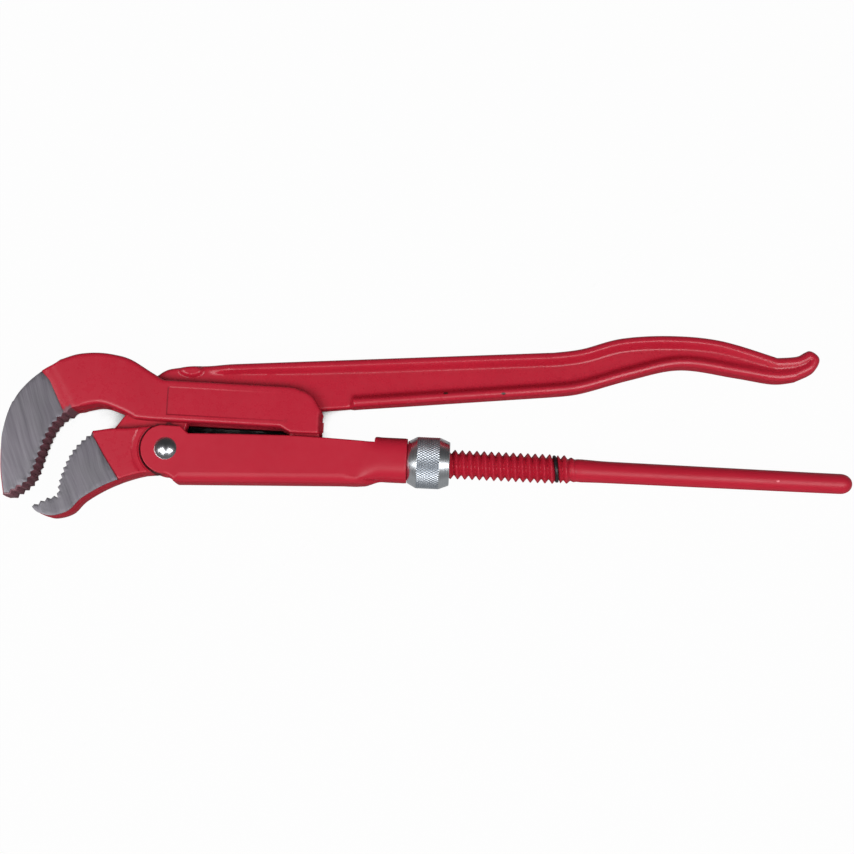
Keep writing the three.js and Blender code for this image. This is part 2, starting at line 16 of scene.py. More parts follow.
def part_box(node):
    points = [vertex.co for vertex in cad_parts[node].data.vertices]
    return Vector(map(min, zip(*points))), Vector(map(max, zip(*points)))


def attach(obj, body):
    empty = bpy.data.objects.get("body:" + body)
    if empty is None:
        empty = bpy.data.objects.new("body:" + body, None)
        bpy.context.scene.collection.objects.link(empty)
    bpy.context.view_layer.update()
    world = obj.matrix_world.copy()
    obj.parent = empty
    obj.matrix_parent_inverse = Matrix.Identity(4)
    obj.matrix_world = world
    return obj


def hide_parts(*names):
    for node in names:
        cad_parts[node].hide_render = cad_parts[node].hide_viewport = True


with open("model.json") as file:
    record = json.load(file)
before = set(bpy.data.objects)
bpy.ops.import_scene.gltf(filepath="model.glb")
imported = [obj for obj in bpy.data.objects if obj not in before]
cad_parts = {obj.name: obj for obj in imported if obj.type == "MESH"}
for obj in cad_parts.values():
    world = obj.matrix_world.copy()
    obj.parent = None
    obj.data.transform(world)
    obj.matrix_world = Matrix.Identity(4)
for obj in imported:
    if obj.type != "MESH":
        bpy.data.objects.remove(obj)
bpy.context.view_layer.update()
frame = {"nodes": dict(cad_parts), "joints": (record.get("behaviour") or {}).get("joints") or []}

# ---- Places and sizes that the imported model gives
JOINTS = {joint["name"]: joint for joint in frame["joints"]}
PIVOT = np.array(JOINTS["jaw_pivot"]["pos_m"])


def span(node):
    """Lowest and highest corner of a CAD node, in millimetres about the pivot."""
    low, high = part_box(node)
    return (np.array(low) - PIVOT) * 1000, (np.array(high) - PIVOT) * 1000


HOOK, JAW, HOUSING = span("hook_lever"), span("jaw_lever"), span("guide_housing")
NUT, RING, RIVET = span("adjusting_nut"), span("stop_ring"), span("pivot_rivet")
SHANK_HALF = HOOK[1][2]
HOUSING_HALF = HOUSING[1][2]
JAW_HALF = JAW[1][2]
HANDLE_END = JAW[1][0]
ROD_END = HOOK[1][0]
SPIGOT_END = HOUSING[1][0]
COLLAR_END = SPIGOT_END - 6
NUT_FRONT, NUT_REAR, NUT_R = NUT[0][0], NUT[1][0], NUT[1][2]
RING_X = (RING[0][0] + RING[1][0]) / 2

# ---- Sizes, in millimetres; a "half" is half a thickness or a width across Z
HEAD_HALF = 9.7  # the hook's head
WEB_HALF = 4.3  # the jaw lever's web
SLOT_HALF = 4.8  # the slot in the shank that the web runs through
HANDLE_HALF = 7.5  # the rims of the upper handle
EYE_HALF = 7.3
EYE_R = 12
RIVET_HOLE_R = 4.5
CHANNEL_HALF = 7.6  # the channel in the housing
BORE_R = 7.6
PITCH = 3.63
CREST_R = 7.4
ROOT_R = 5.3
THREAD_START = COLLAR_END - 9 - 2 * PITCH
TOOTH = 1.25  # height of a jaw's tooth
ROUNDED = 0.1  # edges with a smaller radius stay sharp
CHUNK = 2000  # points measured at a time, which keeps the arrays small


# ---- Curves and distances in the flat
def smooth(points, step=0.8):
    """Points of a smooth curve through the ones given, without the first."""
    points = [np.array(p, float) for p in points]
    out = []
    last = len(points) - 1
    for i in range(last):
        p0, p1, p2, p3 = points[max(i - 1, 0)], points[i], points[i + 1], points[min(i + 2, last)]
        v0, v1 = (p2 - p0) / 2, (p3 - p1) / 2
        count = max(1, ceil(norm(p2 - p1) / step))
        for k in range(1, count + 1):
            t = k / count
            cubic, square = 2 * p1 - 2 * p2 + v0 + v1, 3 * p2 - 3 * p1 - 2 * v0 - v1
            out.append(cubic * t**3 + square * t**2 + v0 * t + p1)
    return out


def straight(points, step=1.0):
    """Points along straight lines through the ones given, without the first."""
    points = [np.array(p, float) for p in points]
    out = []
    for p, q in zip(points, points[1:]):
        count = max(1, ceil(norm(q - p) / step))
        out += [p + (q - p) * k / count for k in range(1, count + 1)]
    return out


def tooth_corners(points, count):
    """Corners of a row of teeth along a smooth curve, on its right side."""
    curve = np.array([points[0]] + smooth(points, 0.05))
    length = np.concatenate([[0], np.cumsum(norm(np.diff(curve, axis=0), axis=1))])

    def at(s):
        return np.array([np.interp(s, length, curve[:, k]) for k in (0, 1)])

    out = []
    for step in range(2 * count):
        s = length[-1] * step / (2 * count)
        along = at(s + 0.2) - at(s - 0.2)
        along /= norm(along)
        height = TOOTH / 2 if step % 2 else -TOOTH / 2
        out.append(at(s) + np.array([along[1], -along[0]]) * height)
    return out


def cross(u, v):
    return u[:, 0] * v[:, 1] - u[:, 1] * v[:, 0]


def clockwise(loop):
    return cross(loop, np.roll(loop, -1, 0)).sum() < 0


def outline(start, *runs):
    """A closed outline, counter-clockwise: its points, edge radius and side bulge at each.
    Each run is (kind, edge radius, side bulge, points), and goes on from the point before it."""
    rows = [(*start, *runs[0][1:3])]
    for kind, radius, bulge, via in runs:
        path = [rows[-1][:2], *via]
        made = smooth(path) if kind == "curve" else straight(path, 0.7 if kind == "teeth" else 1.0)
        rows += [(*p, radius, bulge) for p in made]
    rows += [(*p, radius, bulge) for p in straight([rows[-1][:2], start])[:-1]]
    if norm(np.subtract(rows[-1][:2], start)) < 1e-6:
        rows.pop()
    rows = np.array(rows, float)
    if clockwise(rows):
        rows = rows[::-1].copy()
    points, radii, bulges = rows[:, :2], rows[:, 2], rows[:, 3]
    for _ in range(3):
        radii, bulges = ((np.roll(v, 1) + 2 * v + np.roll(v, -1)) / 4 for v in (radii, bulges))
    return points, radii, bulges


def distance(points, path, closed=True):
    """Distance of each point from a polyline, and the nearest segment's index."""
    path = np.asarray(path, float)
    a, b = (path, np.roll(path, -1, 0)) if closed else (path[:-1], path[1:])
    along = b - a
    size = np.maximum((along**2).sum(1), 1e-12)
    best, nearest = np.empty(len(points)), np.empty(len(points), int)
    for first in range(0, len(points), CHUNK):
        rows = slice(first, first + CHUNK)
        p = points[rows, None, :]
        t = np.clip(((p - a) * along).sum(2) / size, 0, 1)
        gap = ((p - a - t[..., None] * along)**2).sum(2)
        best[rows], nearest[rows] = np.sqrt(gap.min(1)), gap.argmin(1)
    return best, nearest


def inside(points, loop):
    """True for each point inside a closed outline."""
    a, b = np.asarray(loop), np.roll(loop, -1, 0)
    out = np.zeros(len(points), bool)
    rise = np.where(b[:, 1] == a[:, 1], 1e-9, b[:, 1] - a[:, 1])
    for first in range(0, len(points), CHUNK):
        rows = slice(first, first + CHUNK)
        x, y = points[rows, 0:1], points[rows, 1:2]
        crossing = (a[:, 1] > y) != (b[:, 1] > y)
        at = a[:, 0] + (y - a[:, 1]) * (b[:, 0] - a[:, 0]) / rise
        out[rows] = (crossing & (x < at)).sum(1) % 2 == 1
    return out


def side_of(points, path):
    """Signed distance from an open line: positive on the left of the way it runs."""
    path = np.asarray(path, float)
    gap, nearest = distance(points, path, closed=False)
    a, b = path[nearest], path[nearest + 1]
    return np.where(cross(b - a, points - a) > 0, gap, -gap)


def ease(t):
    """0 up to t = 0, 1 from t = 1, and a smooth step between."""
    t = np.clip(t, 0, 1)
    return t * t * (3 - 2 * t)


def outward(loop):
    """Outward unit normal at each point of a counter-clockwise loop."""
    along = np.roll(loop, -1, 0) - np.roll(loop, 1, 0)
    normal = np.stack([along[:, 1], -along[:, 0]], 1)
    return normal / np.maximum(norm(normal, axis=1, keepdims=True), 1e-9)


# ---- Meshes
def add(name, data):
    made = bpy.data.objects.new(name, data)
    bpy.context.scene.collection.objects.link(made)
    return made


def new_object(name, points, faces):
    mesh = bpy.data.meshes.new(name)
    mesh.from_pydata([tuple(p) for p in points], [], [tuple(f) for f in faces])
    mesh.validate()
    return add(name, mesh)


def forging(name, shape, height, lines=(), spacing=1.5, rings=(), floor=None):
    """A flat forging: the same relief on its two flat sides, rounded edges and bulging side walls.
    height(points) is the half thickness before the edges are rounded. The mesh, spacing apart,
    has edges along the lines and points at each depth in rings past the rounding. With a floor,
    the relief is on the upper side only and the lower side is flat at that height."""
    loop, radii, bulges = shape
    normal = outward(loop)
    loop = loop - normal * bulges[:, None]
    lines = [np.asarray(line, float) for line in lines]
    # Points on the rounded edge, at each angle of its quarter turn, and on the rings.
    depths = [(radii * (1 - cos(radians(turn))), radii > ROUNDED) for turn in (25, 45, 65, 90)]
    depths += [(radii + extra, slice(None)) for extra in rings]
    ring_points = np.concatenate([(loop - normal * depth[:, None])[at] for depth, at in depths])
    wanted = np.concatenate([depth[at] for depth, at in depths])
    deepest = np.max([depth for depth, at in depths], axis=0)
    kept = inside(ring_points, loop)
    ring_points, wanted = ring_points[kept], wanted[kept]
    gap, _ = distance(ring_points, loop)
    ring_points = ring_points[gap > 0.9 * wanted]
    # A grid of triangles fills the rest, clear of the rings and the lines.
    clear = 0.45 * spacing
    low, high = loop.min(0), loop.max(0)
    columns = np.arange(low[0], high[0], spacing)
    rows = np.arange(low[1], high[1], spacing * 0.866)
    grid = np.array([(x + spacing / 2 * (i % 2), y) for i, y in enumerate(rows) for x in columns])
    grid = grid[inside(grid, loop)]
    gap, nearest = distance(grid, loop)
    grid = grid[gap > deepest[nearest] + clear]
    for line in lines:
        gap, _ = distance(grid, line, closed=False)
        grid = grid[gap > clear]
    # The edges that the triangles have to follow.
    verts, edges = [*loop], pairs(len(loop))
    for line in lines:
        path = [line[0]] + straight(line, 1.2)
        edges += [(len(verts) + i, len(verts) + i + 1) for i in range(len(path) - 1)]
        verts += path
    verts += [*ring_points, *grid]
    made = geometry.delaunay_2d_cdt([Vector(p) for p in verts], edges, [], 0, 1e-5)
    flat = np.array([tuple(p) for p in made[0]])
    tris = np.array([tuple(f) for f in made[2]])
    tris = tris[inside(flat[tris].mean(1), loop)]
    used, tris = np.unique(tris, return_inverse=True)
    tris = tris.reshape(-1, 3)
    flat = flat[used]
    a, b, c = (flat[tris[:, k]] for k in range(3))
    flipped = cross(b - a, c - a) < 0
    tris[flipped] = tris[flipped][:, ::-1]

    gap, nearest = distance(flat, loop)
    top = height(flat)
    radius = np.minimum(radii[nearest], top)
    reach = np.clip(gap / np.maximum(radius, 1e-6), 0, 1)
    top = top - radius * (1 - np.sqrt(1 - (1 - reach)**2))

    directed = dict.fromkeys((tri[k], tri[(k + 1) % 3]) for tri in tris for k in range(3))
    border = [(i, j) for i, j in directed if (j, i) not in directed]
    after = {i: j for i, j in border}
    before = {j: i for i, j in border}
    # The lower side. Where the edge is rounded down to nothing, the two sides share their points.
    count = len(flat)
    points3 = [(*flat[i], top[i]) for i in range(count)]
    lower = {}
    for i in range(count):
        if floor is None and i in after and top[i] < 0.2:
            points3[i], lower[i] = (*flat[i], 0.0), i
            continue
        lower[i] = len(points3)
        points3.append((*flat[i], -top[i] if floor is None else floor))
    faces = [tuple(t) for t in tris] + [tuple(lower[i] for i in t[::-1]) for t in tris]
    # The side walls, with a bulge that stands out most at the parting line.
    rungs = {}
    for i in after:
        if lower[i] == i or floor is not None:
            rungs[i] = [i] if lower[i] == i else [i, lower[i]]
            continue
        along = flat[after[i]] - flat[before[i]]
        out = np.array([along[1], -along[0]]) / max(norm(along), 1e-9)
        bulge, h = bulges[nearest[i]], top[i]
        wall = [(0.0, 0)]
        if bulge > 0.02:
            wall = [(0.5 * h, 0.5), (min(0.6, 0.2 * h), 0.7), (min(0.4, 0.14 * h), 1)]
            wall += [(-z, share) for z, share in wall[::-1]]
        first = len(points3)
        points3 += [(*(flat[i] + out * bulge * share), z) for z, share in wall]
        rungs[i] = [i, *range(first, len(points3)), lower[i]]
    for i, j in border:
        left, right = rungs[i], rungs[j]
        if len(left) == len(right):
            faces += [(left[k], left[k + 1], right[k + 1], right[k]) for k in range(len(left) - 1)]
        else:
            faces.append(tuple(left + right[::-1]))
    return new_object(name, points3, faces)


def pairs(count):
    """Each index round a loop with the next one."""
    return [(k, (k + 1) % count) for k in range(count)]


def skin(rows, count):
    """Quads between rows of points round a body, count in each row."""
    return [(s * count + k, s * count + n, (s + 1) * count + n, (s + 1) * count + k)
            for s in range(rows - 1) for k, n in pairs(count)]


def tube(rows, count):
    """The same with its two ends closed by one face each."""
    last = (rows - 1) * count
    return [tuple(range(count))[::-1], tuple(range(last, last + count))] + skin(rows, count)


def turned(name, profile, segments=96, axis="X"):
    """A round body along an axis. profile lists (place along the axis, radius)."""
    points, faces, rows = [], [], []
    for x, r in profile:
        if r < 1e-6:
            rows.append([len(points)] * segments)
            points.append((x, 0, 0))
            continue
        rows.append(list(range(len(points), len(points) + segments)))
        for k in range(segments):
            angle = 2 * pi * k / segments
            points.append((x, r * cos(angle), r * sin(angle)))
    for a, b in zip(rows, rows[1:]):
        for k, n in pairs(segments):
            face = tuple(dict.fromkeys((a[k], a[n], b[n], b[k])))
            if len(face) > 2:
                faces.append(face)
    points = np.array(points, float)
    if axis == "Z":
        points = points[:, [1, 2, 0]]
    return face_out(new_object(name, points, faces))


def face_out(made):
    """Turns a closed mesh's faces outwards."""
    mesh = made.data
    mesh.calc_loop_triangles()
    co = np.array([v.co for v in mesh.vertices])
    tri = np.array([t.vertices for t in mesh.loop_triangles])
    volume = np.einsum("ij,ij->i", co[tri[:, 0]], np.cross(co[tri[:, 1]], co[tri[:, 2]])).sum()
    if volume < 0:
        mesh.flip_normals()
    return made


def prism(name, corners, low, high):
    """A straight block along Z with the flat outline given."""
    points = [(*p, z) for z in (low, high) for p in corners]
    return face_out(new_object(name, points, tube(2, len(corners))))


def combine(made, other, operation):
    """Adds other to made, or takes it away from it. other is used up."""
    step = made.modifiers.new("combine", "BOOLEAN")
    step.operation = operation
    step.solver = "MANIFOLD"
    step.object = other
    bpy.context.view_layer.update()
    mesh = bpy.data.meshes.new_from_object(made.evaluated_get(bpy.context.evaluated_depsgraph_get()))
    if len(mesh.polygons) == 0:
        raise RuntimeError(f"{operation} of {other.name} with {made.name} left nothing")
    made.modifiers.clear()
    made.data = mesh
    bpy.data.objects.remove(other)


def drill_pivot(made):
    """The rivet's hole, through both flat sides."""
    through = [(-20, 0), (-20, RIVET_HOLE_R), (20, RIVET_HOLE_R), (20, 0)]
    combine(made, turned("cutter", through, 48, "Z"), "DIFFERENCE")


def curvature(mesh):
    """Convexity at each vertex, above 0 on an outer edge and below 0 in a hollow."""
    count = len(mesh.vertices)
    co, normal = np.empty(count * 3), np.empty(count * 3)
    mesh.vertices.foreach_get("co", co)
    mesh.vertices.foreach_get("normal", normal)
    co, normal = co.reshape(-1, 3), normal.reshape(-1, 3)
    edges = np.empty(len(mesh.edges) * 2, int)
    mesh.edges.foreach_get("vertices", edges)
    a, b = edges.reshape(-1, 2).T
    along = co[b] - co[a]
    along /= np.maximum(norm(along, axis=1, keepdims=True), 1e-12)
    neighbours = np.bincount(edges, minlength=count)
    value = np.zeros(count)
    np.add.at(value, a, -(along * normal[a]).sum(1))
    np.add.at(value, b, (along * normal[b]).sum(1))
    value /= np.maximum(neighbours, 1)
    for _ in range(3):
        total = value.copy()
        np.add.at(total, a, value[b])
        np.add.at(total, b, value[a])
        value = total / (neighbours + 1)
    return value


def put(mesh, name, values):
    """Writes a number for each vertex, for the materials to read."""
    layer = mesh.attributes.new(name, "FLOAT", "POINT")
    layer.data.foreach_set("value", np.asarray(values, np.float32))


def finish(made, body, material, replaces=(), sharp=38, painted_shade=None, wear=None, sides=0.45):
    """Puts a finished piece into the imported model's frame with its material. Edges over sharp
    degrees stay hard. Painted faces with less than sides of their normal along Z are rougher."""
    mesh = made.data
    co = np.array([v.co for v in mesh.vertices])
    bend = curvature(mesh)
    # Convex edges, where the red paint is lighter: a painted highlight.
    put(mesh, "edge", np.clip(bend * 4, 0, 1))
    # Hollows, where the paints are darker: painted shade.
    put(mesh, "hollow", np.clip(-bend * 4, 0, 1))
    # Places that each piece marks, which the materials darken as painted shade.
    put(mesh, "painted_shade", painted_shade(co) if painted_shade else np.zeros(len(co)))
    put(mesh, "wear", wear(co) if wear else np.zeros(len(co)))
    mesh.transform(Matrix.Translation(Vector(PIVOT)) @ Matrix.Scale(0.001, 4))
    mesh.shade_smooth()
    mesh.set_sharp_from_angle(angle=radians(sharp))
    mesh.materials.clear()
    mesh.materials.append(material)
    if material in (RED, RED_SATIN):
        mesh.materials.append(RED_SIDE)
        upright = np.array([abs(p.normal.z) for p in mesh.polygons])
        mesh.polygons.foreach_set("material_index", (upright < sides).astype(np.int32))
    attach(made, body)
    if replaces:
        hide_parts(*replaces)


# ---- Materials
class Graph:
    """A material's node tree, written one node at a time."""

    def __init__(self, material):
        self.material = material
        material.use_nodes = True
        self.tree = material.node_tree
        self.tree.nodes.clear()

    def node(self, kind, inputs=None, **settings):
        made = self.tree.nodes.new("ShaderNode" + kind)
        for key, value in settings.items():
            setattr(made, key, value)
        for key, value in (inputs or {}).items():
            socket = made.inputs[key]
            if isinstance(value, bpy.types.NodeSocket):
                self.tree.links.new(value, socket)
            else:
                socket.default_value = value
        return made

    def noise(self, vector, scale, detail, roughness=0.5):
        inputs = {"Vector": vector, "Scale": scale, "Detail": detail, "Roughness": roughness}
        return self.node("TexNoise", inputs).outputs["Fac"]

    def scaled(self, vector, scale, turn=0.0):
        """The vector turned about Z by -turn degrees, then scaled along each axis."""
        if turn:
            rotation = (0, 0, radians(-turn))
            vector = self.node("Mapping", {"Vector": vector, "Rotation": rotation}).outputs[0]
        return self.node("Mapping", {"Vector": vector, "Scale": scale}).outputs[0]

    def mapped(self, value, low, high, to_low=0, to_high=1):
        inputs = {"Value": value, "From Min": low, "From Max": high, "To Min": to_low, "To Max": to_high}
        return self.node("MapRange", inputs).outputs["Result"]

    def math(self, operation, a, b):
        """The result is kept between 0 and 1."""
        return self.node("Math", {0: a, 1: b}, operation=operation, use_clamp=True).outputs[0]

    def vector(self, operation, a, b):
        """b is a number for SCALE, and the result is one for DISTANCE."""
        inputs = {0: a, (3 if operation == "SCALE" else 1): b}
        outputs = self.node("VectorMath", inputs, operation=operation).outputs
        return outputs["Value" if operation == "DISTANCE" else "Vector"]

    def mix(self, factor, a, b):
        return self.node("Mix", {0: factor, 6: a, 7: b}, data_type="RGBA").outputs[2]

    def bump(self, height, distance, strength, normal=None):
        inputs = {"Height": height, "Distance": distance, "Strength": strength}
        if normal is not None:
            inputs["Normal"] = normal
        return self.node("Bump", inputs).outputs["Normal"]

    def attribute(self, name, factor=None):
        value = self.node("Attribute", attribute_name=name).outputs["Fac"]
        return value if factor is None else self.math("MULTIPLY", value, factor)

    def place(self):
        return self.node("TexCoord").outputs["Object"]

    def finish(self, **inputs):
        named = {key.replace("_", " "): value for key, value in inputs.items()}
        shader = self.node("BsdfPrincipled", named)
        output = self.node("OutputMaterial")
        self.tree.links.new(shader.outputs[0], output.inputs[0])
        return self.material


def rgb(r, g, b):
    return (r, g, b, 1.0)


# Marks in the paint: x and y about the pivot, and size, in millimetres.
CHIPS = [(137.0, 34.6, 1.1), (165.6, 35.6, 1.0)]
# A seam mark on the rod, made light pink as a painted glint where it lies on the rod's highlight.
SEAM_GLINTS = [(303.3, -1.4, 0.7)]
RED_LOW, RED_HIGH = rgb(0.482, 0.0135, 0.0340), rgb(0.508, 0.0155, 0.0375)
# Painted highlight on convex edges, painted shade in hollows and on marked walls, then the grey of worn
# paint.
RED_EDGE_HIGHLIGHT, RED_HOLLOW_SHADE = rgb(0.56, 0.034, 0.062), rgb(0.17, 0.005, 0.013)
RED_SHADE, WORN = rgb(0.045, 0.004, 0.008), rgb(0.19, 0.106, 0.128)
# Dark paint chips; the light pink is the seam mark's painted glint.
CHIP, SEAM_GLINT = rgb(0.028, 0.018, 0.012), rgb(0.80, 0.20, 0.24)
MARK_SHAPE = (0.7, 1.2, 0)  # squeezes space, so that a mark is longer along X
MARK_SHIFT = 0.0006  # metres, the middle of what the noise adds


def red_paint(name, gloss, smooth, dull):
    """Red enamel. Its roughness runs from smooth to dull over the forged surface below it."""
    graph = Graph(bpy.data.materials.new(name))
    place = graph.place()
    broad = graph.noise(place, 45, 2)
    forged = graph.noise(place, 260, 3, 0.6)
    peel = graph.noise(place, 1300, 1)
    colour = graph.mix(graph.mapped(broad, 0.3, 0.7), RED_LOW, RED_HIGH)
    # Mixed in: a painted highlight on convex edges, painted shade in hollows and on marked places, and
    # worn paint.
    for layer, amount, paint in (("edge", 0.2, RED_EDGE_HIGHLIGHT), ("hollow", 0.45, RED_HOLLOW_SHADE),
                                 ("painted_shade", 0.9, RED_SHADE), ("wear", 1.8, WORN)):
        colour = graph.mix(graph.attribute(layer, amount), colour, paint)
    ragged = graph.vector("SCALE", graph.noise(place, 700, 2), 2 * MARK_SHIFT)
    ragged = graph.vector("ADD", place, ragged)
    flat = graph.vector("MULTIPLY", ragged, MARK_SHAPE)
    for marks, paint in ((CHIPS, CHIP), (SEAM_GLINTS, SEAM_GLINT)):
        for x, y, size in marks:
            centre = ((x / 1000 + PIVOT[0] + MARK_SHIFT) * MARK_SHAPE[0],
                      (y / 1000 + PIVOT[1] + MARK_SHIFT) * MARK_SHAPE[1], 0)
            gap = graph.vector("DISTANCE", flat, centre)
            colour = graph.mix(graph.mapped(gap, size * 0.0006, size * 0.0009, 1, 0), colour, paint)
    rough = graph.mapped(forged, 0.3, 0.7, smooth, dull)
    bumped = graph.bump(broad, 0.0004, 0.15)
    bumped = graph.bump(forged, 0.00003, 0.2, bumped)
    bumped = graph.bump(peel, 0.000008, 0.1, bumped)
    return graph.finish(Base_Color=colour, Roughness=rough, Normal=bumped, Specular_IOR_Level=gloss)


GRIND_TURN = -66  # degrees from +X to the grinding marks


def ground_steel():
    """Bare steel with straight, slightly wavy grinding marks."""
    graph = Graph(bpy.data.materials.new("ground_steel"))
    place = graph.place()
    wavy = graph.vector("ADD", place, graph.vector("SCALE", graph.noise(place, 30, 1), 0.006))
    grit = graph.noise(graph.scaled(wavy, (60, 2600, 200), GRIND_TURN), 1, 3, 0.6)
    bands = graph.noise(graph.scaled(wavy, (22, 330, 60), GRIND_TURN), 1, 2, 0.6)
    cloud = graph.noise(place, 60, 3)
    tone = graph.mapped(bands, 0.3, 0.75, 0, 0.6)
    tone = graph.math("ADD", tone, graph.mapped(grit, 0.3, 0.7, 0, 0.4))
    colour = graph.mix(tone, rgb(0.13, 0.119, 0.141), rgb(0.28, 0.262, 0.293))
    colour = graph.mix(graph.mapped(cloud, 0.4, 0.75, 0, 0.35), colour, rgb(0.17, 0.182, 0.178))
    rough = graph.mapped(grit, 0.25, 0.75, 0.36, 0.56)
    bumped = graph.bump(bands, 0.00005, 0.5)
    bumped = graph.bump(grit, 0.00003, 0.7, bumped)
    return graph.finish(Base_Color=colour, Roughness=rough, Normal=bumped, Metallic=0.85)


def turned_metal(name, low, high, rough_low, rough_high):
    """Bright metal with faint turning marks round an axis along X."""
    graph = Graph(bpy.data.materials.new(name))
    place = graph.place()
    marks = graph.noise(graph.scaled(place, (2600, 60, 60)), 1, 2)
    cloud = graph.noise(place, 150, 3, 0.6)
    colour = graph.mix(graph.mapped(cloud, 0.3, 0.7), low, high)
    # Darker in hollows: painted shade.
    colour = graph.mix(graph.attribute("hollow", 0.5), colour, rgb(0.16, 0.17, 0.19))
    # Darker in the knurl's grooves: painted shade.
    colour = graph.mix(graph.attribute("painted_shade"), colour, rgb(0.22, 0.26, 0.325))
    rough = graph.mapped(marks, 0.3, 0.7, rough_low, rough_high)
    rough = graph.math("ADD", rough, graph.attribute("wear", 0.2))
    bumped = graph.bump(marks, 0.00001, 0.5)
    return graph.finish(Base_Color=colour, Roughness=rough, Normal=bumped, Metallic=1.0)


def rubber():
    """Dark rubber with a little dust."""
    graph = Graph(bpy.data.materials.new("black_rubber"))
    place = graph.place()
    dust = graph.noise(place, 900, 3, 0.6)
    dusty = graph.mapped(dust, 0.4, 0.8)
    colour = graph.mix(dusty, rgb(0.010, 0.009, 0.010), rgb(0.022, 0.020, 0.022))
    rough = graph.mapped(dust, 0.3, 0.7, 0.3, 0.45)
    return graph.finish(Base_Color=colour, Roughness=rough, Normal=graph.bump(dust, 0.00002, 0.4))


# For the levers, for the rod and housing, and for the walls that were left as forged.
RED = red_paint("red_enamel", 0.45, 0.25, 0.32)
RED_SATIN = red_paint("red_enamel_satin", 0.3, 0.34, 0.42)
RED_SIDE = red_paint("red_enamel_on_forged_sides", 0.06, 0.45, 0.6)
GROUND = ground_steel()
ZINC = turned_metal("bright_zinc", rgb(0.73, 0.77, 0.81), rgb(0.82, 0.85, 0.88), 0.24, 0.32)
BRIGHT = turned_metal("polished_steel", rgb(0.50, 0.50, 0.53), rgb(0.58, 0.58, 0.60), 0.2, 0.27)
BLUED = turned_metal("blued_spring_steel", rgb(0.05, 0.055, 0.075), rgb(0.075, 0.08, 0.10), 0.3, 0.42)
RUBBER = rubber()

# ---- Hook lever
HOOK_FLANK = [(-76.6, -26.7), (-68.1, -19.9), (-64.9, -14), (-62, -3.4), (-58.6, 6.3), (-54.4, 12.6),
              (-49, 17)]  # the middle of the row of teeth
HOOK_TEETH = 16
SHANK_REAR = 75.3
FOOT_FRONT = 60.5  # the foot joins the shank's cheeks and the rod
BRIDGE_TOP = 17.69  # the foot's upper side, where the slot ends
hook_shape = outline(
    (SHANK_REAR + 1.5, 10.7),
    ("line", 1.2, 1.8, [(SHANK_REAR + 1.5, 21.8)]),
    ("curve", 1.6, 0.7, [(74.6, 25.3), (71.9, 29.3), (68.2, 32), (63.4, 33.6)]),
    ("line", 1.4, 0.35, [(58.3, 34), (-3, 34.6)]),
    ("curve", 1.8, 0.35, [(-9.8, 38.4), (-20, 44.1), (-28.5, 46.2), (-37.5, 46.8), (-47, 45.6),
                          (-55, 42.6)]),
    ("curve", 0.8, 0.3, [(-57.6, 40.4), (-63.7, 36.5), (-70.3, 30.6), (-75.8, 23.4), (-79.3, 14.6),
                         (-81.2, 5), (-81.9, -4.4)]),
    ("curve", 0.9, 0.3, [(-81.2, -14.3), (-78.9, -26.6)]),
    ("teeth", 0.12, 0, tooth_corners(HOOK_FLANK, HOOK_TEETH) + [HOOK_FLANK[-1]]),
    ("curve", 0.3, 0.3, [(-47.2, 18), (-43.9, 18.6)]),
    ("curve", 1.6, 0.3, [(-41.8, 19.2), (-33.6, 20.6), (-23.5, 17.6), (-16.4, 14.2)]),
    ("line", 1.2, 0.3, [(-8, 13.8), (55.9, 13.2)]),
    ("line", 0.8, 0.2, [(61, 10.7), (SHANK_REAR + 1.5, 10.7)]),
)
RIDGE = [(-70.2, 60), (5.7, -60)]  # over RIDGE_RUN to the right of it, the lever gets thinner
RIDGE_RUN = 7.6
HOOK_GROUND = [(-72, 48.5), (-63.7, 35.6), (-59.6, 31.4), (-56.3, 25.1), (-52.5, 17.8), (-50.8, 13.9),
               (-46, 4)]  # the edge of the ground sides
PANEL = (-0.5, 59.2, 16.6, 30.4)  # a sunk panel on the shank: left, right, low and high
PANEL_SLOPE, PANEL_X = 0.010, 29  # it follows the shank's top edge; the slope turns about this x


def panel_y(x, y):
    """Height in the panel's own lines."""
    return y + PANEL_SLOPE * (x - PANEL_X)


def hook_height(points):
    x, y = points[:, 0], points[:, 1]
    away = -side_of(points, RIDGE)
    ramp = np.clip(away / RIDGE_RUN, 0, 1)
    ribs = 0.035 * np.sin(away * 1.7 + 0.6 * np.sin(y * 0.21)) * ease(away / 1.5)
    half = SHANK_HALF - 0.26 * ramp + ribs
    ground = side_of(points, HOOK_GROUND) < 0
    half = np.where(ground, HEAD_HALF - 0.25, half)
    level = panel_y(x, y)
    inner = np.minimum.reduce([x - PANEL[0], PANEL[1] + 6 - x, level - PANEL[2], PANEL[3] - level])
    depth = 0.17 * (1 - ease((x - 18) / 44))
    return half - depth * ease(inner / 0.4 + 0.5)


def panel_line(grow):
    """The panel's edge, moved outwards. Its right end is open."""
    x0, x1 = PANEL[0] - grow, PANEL[1] - 2
    y0, y1 = PANEL[2] - grow, PANEL[3] + grow
    return [(x, y - PANEL_SLOPE * (x - PANEL_X)) for x, y in ((x1, y0), (x0, y0), (x0, y1), (x1, y1))]


def shift(line, amount):
    """A line moved sideways, to the left of the way it runs."""
    line = np.asarray(line, float)
    along = np.gradient(line, axis=0)
    along /= norm(along, axis=1, keepdims=True)
    return line + np.stack([-along[:, 1], along[:, 0]], 1) * amount


hook_lines = [shift(HOOK_GROUND, 0.02), shift(HOOK_GROUND, -0.02), RIDGE, shift(RIDGE, -RIDGE_RUN)]
hook_lines += [panel_line(grow) for grow in (0.45, 0.2, -0.2, -0.45)]
hook_body = forging("hook_body", hook_shape, hook_height, hook_lines, rings=(0.7,))
